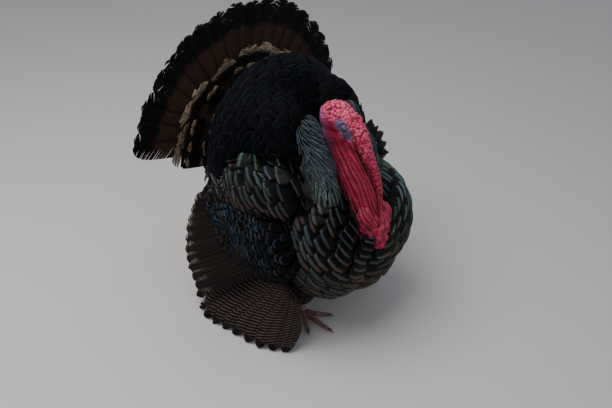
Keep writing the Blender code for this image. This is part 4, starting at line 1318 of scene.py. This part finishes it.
def covert_tone(spot, rng):
    """Blue black, with a brighter blue here and there, fading towards the bottom of the wing as
    painted shade.
    """
    glow = 0.5 + 1.1 * rng.uniform(0, 1, (len(spot), 1)) ** 2
    tone = np.broadcast_to(0.6 * BLUE + 0.3 * TEAL, spot.shape) * glow
    # Painted shade: the band's tone falls to 30% towards the bottom of the wing.
    tone = tone * (0.30 + 0.70 * ease(0.22, 0.32, spot[:, 2:]))
    warm = (rng.uniform(0.0, 1.0, len(spot)) > 0.72) * 0.5
    tone = blend_tones(tone, COPPER * 0.7, warm)
    return tone_jitter(tone, rng)


def ruff_tone(spot, rng):
    """Streaky grey green, paler low down."""
    low = ease(0.56, 0.44, spot[:, 2])
    tone = blend_tones(STEEL * 1.1, GREY_GREEN * 1.7, low)
    return tone_jitter(tone, rng, 0.5)


def under_tone(spot, rng):
    return tone_jitter(np.broadcast_to(BROWN, spot.shape), rng, 0.3)


BACK_EDGE = 0.215  # feathers of the trunk and back stop here, ahead of the tail
FLOOR_GAP = 0.004
SPINE_STATIONS = 9


def coat(name, form_name, axis, start, end, across, along, length, width, seed, look, material,
         slot="dark_feather", depth=0.016, lift=0.002, curl=0.0, hide=(), hide_depth=0.010, wobble=0.05,
         keep=None, pull=(0.0, 0.0, 0.0), sweep=(0.0, 0.0, 0.0), grow=0.7, **vane):
    """One tract of contour feathers over a form, without those that lie inside its neighbours.

    Feathers are short near the tract's pole and reach their length at the polar angle grow. Each
    lies from depth inside the form at its root to lift above it at its tip, plus curl v^3. Pull
    bends the flow everywhere, and sweep turns the feathers near the pole one way to cover it.
    """
    rng = np.random.default_rng(seed)
    form = FORMS[form_name]
    roots, flow, share = tract(form, axis, start, end, across, along, rng)
    polar = share[:, 1] * math.pi
    flow = unit(flow + np.asarray(pull))
    flow = unit(flow + np.asarray(sweep) * ease(1.0, 0.35, polar)[:, None])
    flow = unit(flow + rng.normal(0.0, wobble, flow.shape))
    count = len(roots)
    grown = ease(0.0, grow, polar)
    lengths = length * rng.uniform(0.92, 1.08, count) * (0.42 + 0.58 * grown)
    widths = 0.5 * width * rng.uniform(0.94, 1.06, count) * (0.60 + 0.40 * grown)
    v = np.linspace(0.0, 1.0, SPINE_STATIONS)
    rise = -depth + (depth + lift) * v**1.1 + curl * v**3
    heights = rise[None, :] + rng.normal(0.0, 0.0010, (count, 1)) * v[None, :]
    laid = lay(form, roots, flow, lengths, heights)
    spine = laid[0]
    check = spine[:, SPINE_STATIONS // 2 + 1]
    shown = spine[:, :, 2].min(1) > FLOOR_GAP
    for other in hide:
        shown &= FORMS[other].outside(check)[0] > -hide_depth
    if keep is not None:
        shown &= keep(check)
    laid = tuple(kept(shown, *laid))
    piece = plate_feathers(name, laid, widths[shown], share[shown], rng, look, **vane)
    return dress(piece, material, slot, form_name)


CONTOUR = contour_finish("contour_feather", BLACK, (0.845, 0.960), gloss=0.12)
MANTLE = contour_finish("mantle_feather", (0.0020, 0.0020, 0.0026), (0.950, 0.982), soft=0.012,
                        metallic=0.2, roughness=0.66, gloss=0.06)
SHOULDER = contour_finish("shoulder_feather", BLACK, (0.865, 0.960), gloss=0.12)
COVERT = contour_finish("covert_feather", (0.0018, 0.0018, 0.0022), (0.88, 0.965), metallic=0.4,
                        roughness=0.55, gloss=0.06)
RUFF = contour_finish("ruff_feather", (0.009, 0.010, 0.010), (0.25, 1.05), soft=0.2, metallic=0.3,
                      roughness=0.5, streak=0.3)
UNDER = contour_finish("under_feather", (0.007, 0.0055, 0.005), (0.5, 1.05), soft=0.2, metallic=0.0,
                       roughness=0.7)
VENT = quill_finish("under_tail_feather", (0.010, 0.0068, 0.0055), (0.045, 0.027, 0.018), 11, 0.35,
                    fade_in=0.45, tip=(0.110, 0.068, 0.044), tip_start=0.945, slant=0.0, warp=3.0)

SIDES = {"right": (np.ones(3), 0.0), "left": (MIRROR, LEFT_WING_SHIFT)}
SCAPULARS = {  # the left ones are narrow and pointed
    "right": dict(across=0.050, width=0.078, curl=0.006, tip=0.08),
    "left": dict(across=0.027, width=0.036, curl=0.010, tip=0.45),
}

# The breast and scapular tracts set copper to 1: painted reflection of the brown ground on each vane's
# downward half.
coat("breast_feathers", "trunk", (-0.04, -0.93, 0.36), 0.10, 2.85, 0.044, 0.0125, 0.066, 0.068, 11,
     breast_tone, CONTOUR, keep=lambda p: p[:, 1] < BACK_EDGE, hide_depth=0.022, curl=0.005, copper=1.0,
     hide=("mantle", "scapulars_right", "scapulars_left", "wing_coverts_right", "wing_coverts_left"),
     tip=0.09, camber=0.09, columns=7, ragged=0.02, tip_narrow=0.25)
coat("mantle_feathers", "mantle", (0.0, -1.0, -0.10), 0.25, 2.60, 0.036, 0.0140, 0.068, 0.056, 12,
     mantle_tone, MANTLE, keep=lambda p: p[:, 1] < BACK_EDGE, hide_depth=0.022,
     hide=("trunk", "scapulars_right", "scapulars_left"),
     tip=0.11, camber=0.04, columns=7, ragged=0.03, tip_narrow=0.25)
for side, (way, _) in SIDES.items():
    coat(f"scapular_feathers_{side}", f"scapulars_{side}", way * (0.60, -0.64, 0.46), 0.02, 2.85,
         along=0.0120, length=0.080, seed=13, look=scapular_tone, material=SHOULDER,
         pull=(0.0, 0.5, -0.15), sweep=way * (-2.0, 0.9, -0.2), hide_depth=0.040, depth=0.014,
         hide=("mantle", "trunk", f"wing_coverts_{side}"), copper=1.0, camber=0.09, grow=1.4,
         columns=9, ragged=0.02, tip_narrow=0.25, **SCAPULARS[side])
    coat(f"wing_covert_feathers_{side}", f"wing_coverts_{side}", way * (0.72, -0.68, 0.10), 0.02, 2.9,
         0.020, 0.0090, 0.050, 0.028, 14, covert_tone, COVERT, pull=(0.0, 0.5, -0.25),
         hide=("trunk", f"scapulars_{side}"), hide_depth=0.032, depth=0.009, curl=0.003, camber=0.08,
         ragged=0.02, columns=5, rows=8)
    coat(f"ruff_feathers_{side}", f"ruff_{side}", way * (0.0, 0.35, 0.95), 0.12, 2.8, 0.0052, 0.0105,
         0.048, 0.0066, 15, ruff_tone, RUFF, hide=("trunk", "mantle"), hide_depth=0.014, depth=0.006,
         lift=0.001, ragged=0.06, columns=5, rows=7, wobble=0.035, camber=0.05)
    coat(f"thigh_feathers_{side}", f"thigh_{side}", (0.0, -0.10, 0.99), 0.3, 2.9, 0.018, 0.016, 0.050,
         0.026, 16, under_tone, UNDER, hide=("trunk",), depth=0.008, ragged=0.08, columns=5, rows=7)
coat("under_tail_feathers", "tail_under", (0.0, 0.10, -0.995), 0.02, 2.6, 0.022, 0.0120, 0.075, 0.038, 17,
     under_tone, VENT, "barred_feather", hide=("trunk",), depth=0.012, ragged=0.10, wobble=0.12,
     keep=lambda p: p[:, 1] > BACK_EDGE + 0.013, grow=1.0, columns=7, hide_depth=0.03)


# ---------------------------------------------------------------- tail
TAIL_ROOT = np.array((0.0, 0.225, 0.436))
TAIL_LEAN = math.radians(2.9)
TAIL_UP = np.array((0.0, -math.sin(TAIL_LEAN), math.cos(TAIL_LEAN)))
TAIL_BACK = np.array((0.0, math.cos(TAIL_LEAN), math.sin(TAIL_LEAN)))
TAIL_HUB = 0.020  # how far from the root the quills begin
TAIL_STEP = 0.0005  # how far behind its inner neighbour each quill lies
TAIL_TILT = 0.02


def fan_layer(name, radius, half_spread, quills, depth, width, seed, material, slot, *nodes,
              scatter=0.012, jitter=0.010, **vane):
    """One layer of the raised tail: quills fanned round the root, the middle ones lying foremost."""
    rng = np.random.default_rng(seed)
    angle = np.radians(np.linspace(-half_spread, half_spread, quills + 1))
    angle = 0.5 * (angle[1:] + angle[:-1]) + rng.normal(0.0, jitter, quills)
    ray = circle(angle[:, None], TAIL_UP, X_AXIS)
    layer = np.abs(np.arange(quills) - (quills - 1) / 2.0)
    start = TAIL_ROOT + TAIL_BACK * (depth + TAIL_STEP * layer[:, None])
    reach = radius * (1.0 - np.abs(rng.normal(0.0, scatter, quills)))
    tips = start + ray * reach[:, None]
    laid = straight(start + ray * TAIL_HUB, tips, np.broadcast_to(-TAIL_BACK, tips.shape))
    tilt = np.sign(angle)[:, None, None, None, None] * TAIL_TILT
    piece = barbed_feathers(name, laid, width, rng, tilt=tilt, **vane)
    return dress(piece, material, slot, *nodes)


TAIL_QUILL = quill_finish("tail_quill", (0.019, 0.0108, 0.0078), (0.066, 0.034, 0.021), 46, 0.25,
                          fade_in=0.25, band=(0.0036, 0.0030, 0.0030), band_start=0.80,
                          tip=(0.060, 0.032, 0.016), tip_start=0.985)
LONG_COVERT_QUILL = quill_finish("long_tail_covert_quill", (0.018, 0.011, 0.0085), (0.065, 0.036, 0.023),
                                 30, 0.2, fade_in=0.1, band=(0.0048, 0.0038, 0.0034), band_start=0.76,
                                 tip=(0.42, 0.30, 0.20), tip_start=0.895, tip_soft=0.035)
SHORT_COVERT_QUILL = quill_finish("short_tail_covert_quill", (0.014, 0.009, 0.0072), (0.050, 0.028, 0.018),
                                  22, 0.2, fade_in=0.1, band=(0.0045, 0.0036, 0.0032), band_start=0.76,
                                  tip=(0.34, 0.24, 0.16), tip_start=0.935, tip_soft=0.030)
fan_layer("tail_fan_feathers", 0.383, 77.0, 18, 0.0000, 0.047, 21, TAIL_QUILL, "brown_feather", "tail_fan",
          barbs=84, segments=4, square=10.0, fray=0.35, split=0.05, shaft=0.0019, narrow=0.22)
fan_layer("tail_covert_feathers_long", 0.272, 84.0, 13, -0.0060, 0.054, 22, LONG_COVERT_QUILL,
          "barred_feather", "tail_coverts_long", barbs=72, segments=4, square=5.0, fray=1.8, split=0.16,
          shaft=0.0012, scatter=0.035, jitter=0.05, narrow=0.25)
fan_layer("tail_covert_feathers_middle", 0.232, 96.0, 15, -0.0130, 0.036, 23, SHORT_COVERT_QUILL,
          "barred_feather", "tail_coverts_short", barbs=48, segments=3, square=3.0, fray=1.5, split=0.12,
          shaft=0.0010, scatter=0.06, jitter=0.06)
fan_layer("tail_covert_feathers_short", 0.186, 102.0, 17, -0.0200, 0.030, 24, SHORT_COVERT_QUILL,
          "barred_feather", barbs=36, segments=3, square=3.0, fray=1.4, split=0.12, shaft=0.0009,
          scatter=0.07, jitter=0.06)


# ---------------------------------------------------------------- wing quills
SECONDARY_ROOTS = ((-0.200, 0.100, 0.400), (-0.212, 0.000, 0.350), (-0.216, -0.110, 0.295))
SECONDARY_TIPS = (
    (-0.224, 0.185, 0.345),
    (-0.243, 0.222, 0.240),
    (-0.260, 0.214, 0.140),
    (-0.277, 0.158, 0.078),
)
PRIMARY_ROOTS = ((-0.205, -0.085, 0.275), (-0.204, -0.125, 0.240), (-0.198, -0.155, 0.200))
PRIMARY_TIPS = (
    (-0.255, 0.215, 0.030),
    (-0.288, 0.130, -0.006),
    (-0.278, 0.040, -0.006),
    (-0.262, -0.065, -0.006),
    (-0.214, -0.145, -0.004),
)
WING_QUILLS = 10
WING_STEP = 0.0006  # how far outside its neighbour each quill lies
LOWEST_TIP = 0.0035


def wing_layer(name, side, root_curve, tip_curve, width, bow, seed, material, slot, node, **vane):
    """One row of wing quills, from its curve of roots to its curve of tips."""
    rng = np.random.default_rng(seed)
    way, shift = SIDES[side]
    roots = smooth_curve(root_curve, 2 * WING_QUILLS + 1)[1::2]
    tips = smooth_curve(tip_curve, 2 * WING_QUILLS + 1)[1::2]
    tips = roots + (tips - roots) * (1.0 - np.abs(rng.normal(0.0, 0.008, (WING_QUILLS, 1))))
    out = unit(np.cross(tips - roots, np.gradient(tips, axis=0) + np.gradient(roots, axis=0)))
    out = out * np.sign(dot(out, -X_AXIS))
    lift = WING_STEP * np.arange(WING_QUILLS)[:, None] * out
    roots, tips = (roots + lift) * way + shift, (tips + lift) * way + shift
    tips[:, 2] = np.maximum(tips[:, 2], LOWEST_TIP)
    laid = straight(roots, tips, out * way, (bow * X_AXIS) * way)
    piece = barbed_feathers(name, laid, width, rng, segments=4, fray=0.6, **vane)
    return dress(piece, material, slot, node)


SECONDARY = quill_finish("secondary_quill", (0.0090, 0.0056, 0.0045), (0.26, 0.20, 0.15), 26, 0.30,
                         outer=0.40, fade_in=0.74)
PRIMARY = quill_finish("primary_quill", (0.0070, 0.0042, 0.0038), (0.140, 0.092, 0.080), 22, 0.60,
                       fade_in=0.05, band=(0.0090, 0.0060, 0.0052), band_start=0.90, slant=-0.09)
for side in SIDES:
    wing_layer(f"secondary_feathers_{side}", side, SECONDARY_ROOTS, SECONDARY_TIPS, 0.030, -0.012, 31,
               SECONDARY, "brown_feather", f"wing_secondaries_{side}", barbs=56, square=5.0, shaft=0.0017,
               split=0.08)
    wing_layer(f"primary_feathers_{side}", side, PRIMARY_ROOTS, PRIMARY_TIPS, 0.028, 0.010, 32,
               PRIMARY, "barred_feather", f"wing_primaries_{side}", barbs=64, square=4.0, shaft=0.0019,
               split=0.10)


# ---------------------------------------------------------------- camera, light and floor
CAMERA_TARGET = np.array((0.267, 0.248, 0.053))
CAMERA_TURN, CAMERA_RISE, CAMERA_DISTANCE = math.radians(-47.1), math.radians(34.8), 2.1
SENSOR_WIDTH = 36.0
LENS = SENSOR_WIDTH * 608.0 / 612.0
SKY, SKY_STRENGTH = (0.80, 0.86, 1.0, 1.0), 0.50
LAMPS = (  # name, kind, energy, place, the way its back points, and its own setting
    ("key", "AREA", 78.0, (-1.0, 0.3, 2.6), (0.0, 0.0, 1.0), "size", 2.0),
    ("fill", "SUN", 0.40, (2.2, -1.6, 1.4), (2.2, -1.6, 1.4), "angle", math.radians(70.0)),
)
FLOOR_REACH = 20


def put(name, data, place, back):
    """An object in the scene, with its back, its local z, pointing the given way."""
    thing = bpy.data.objects.new(name, data)
    thing.location = place
    thing.rotation_euler = Vector(back).to_track_quat("Z", "Y").to_euler()
    bpy.context.scene.collection.objects.link(thing)
    return thing


def set_camera():
    """The view from the bird's front right, above."""
    flat = math.cos(CAMERA_RISE)
    back = Vector((math.sin(CAMERA_TURN) * flat, -math.cos(CAMERA_TURN) * flat, math.sin(CAMERA_RISE)))
    data = bpy.data.cameras.new("camera")
    data.sensor_width = SENSOR_WIDTH
    data.lens = LENS
    place = Vector(CAMERA_TARGET + SHIFT) + back * CAMERA_DISTANCE
    bpy.context.scene.camera = put("camera", data, place, back)


def set_light():
    """A broad soft key high over the bird's right, a weak wide fill from its front left, and a blue sky."""
    for name, kind, energy, place, back, setting, value in LAMPS:
        data = bpy.data.lights.new(name, kind)
        data.energy = energy
        setattr(data, setting, value)
        put(name, data, place, back)
    world = bpy.data.worlds.new("studio")
    world.use_nodes = True
    sky = world.node_tree.nodes["Background"].inputs
    sky["Color"].default_value, sky["Strength"].default_value = SKY, SKY_STRENGTH
    bpy.context.scene.world = world


def set_floor():
    mesh = bpy.data.meshes.new("floor")
    corners = [(x * FLOOR_REACH, y * FLOOR_REACH, 0) for x, y in ((-1, -1), (1, -1), (1, 1), (-1, 1))]
    mesh.from_pydata(corners, [], [(0, 1, 2, 3)])
    shader = Shader("floor_paint")
    shader.set(Base_Color=(0.50, 0.47, 0.44), Roughness=0.8)
    mesh.materials.append(shader.material)
    floor = bpy.data.objects.new("floor", mesh)
    bpy.context.scene.collection.objects.link(floor)


set_camera()
set_light()
set_floor()
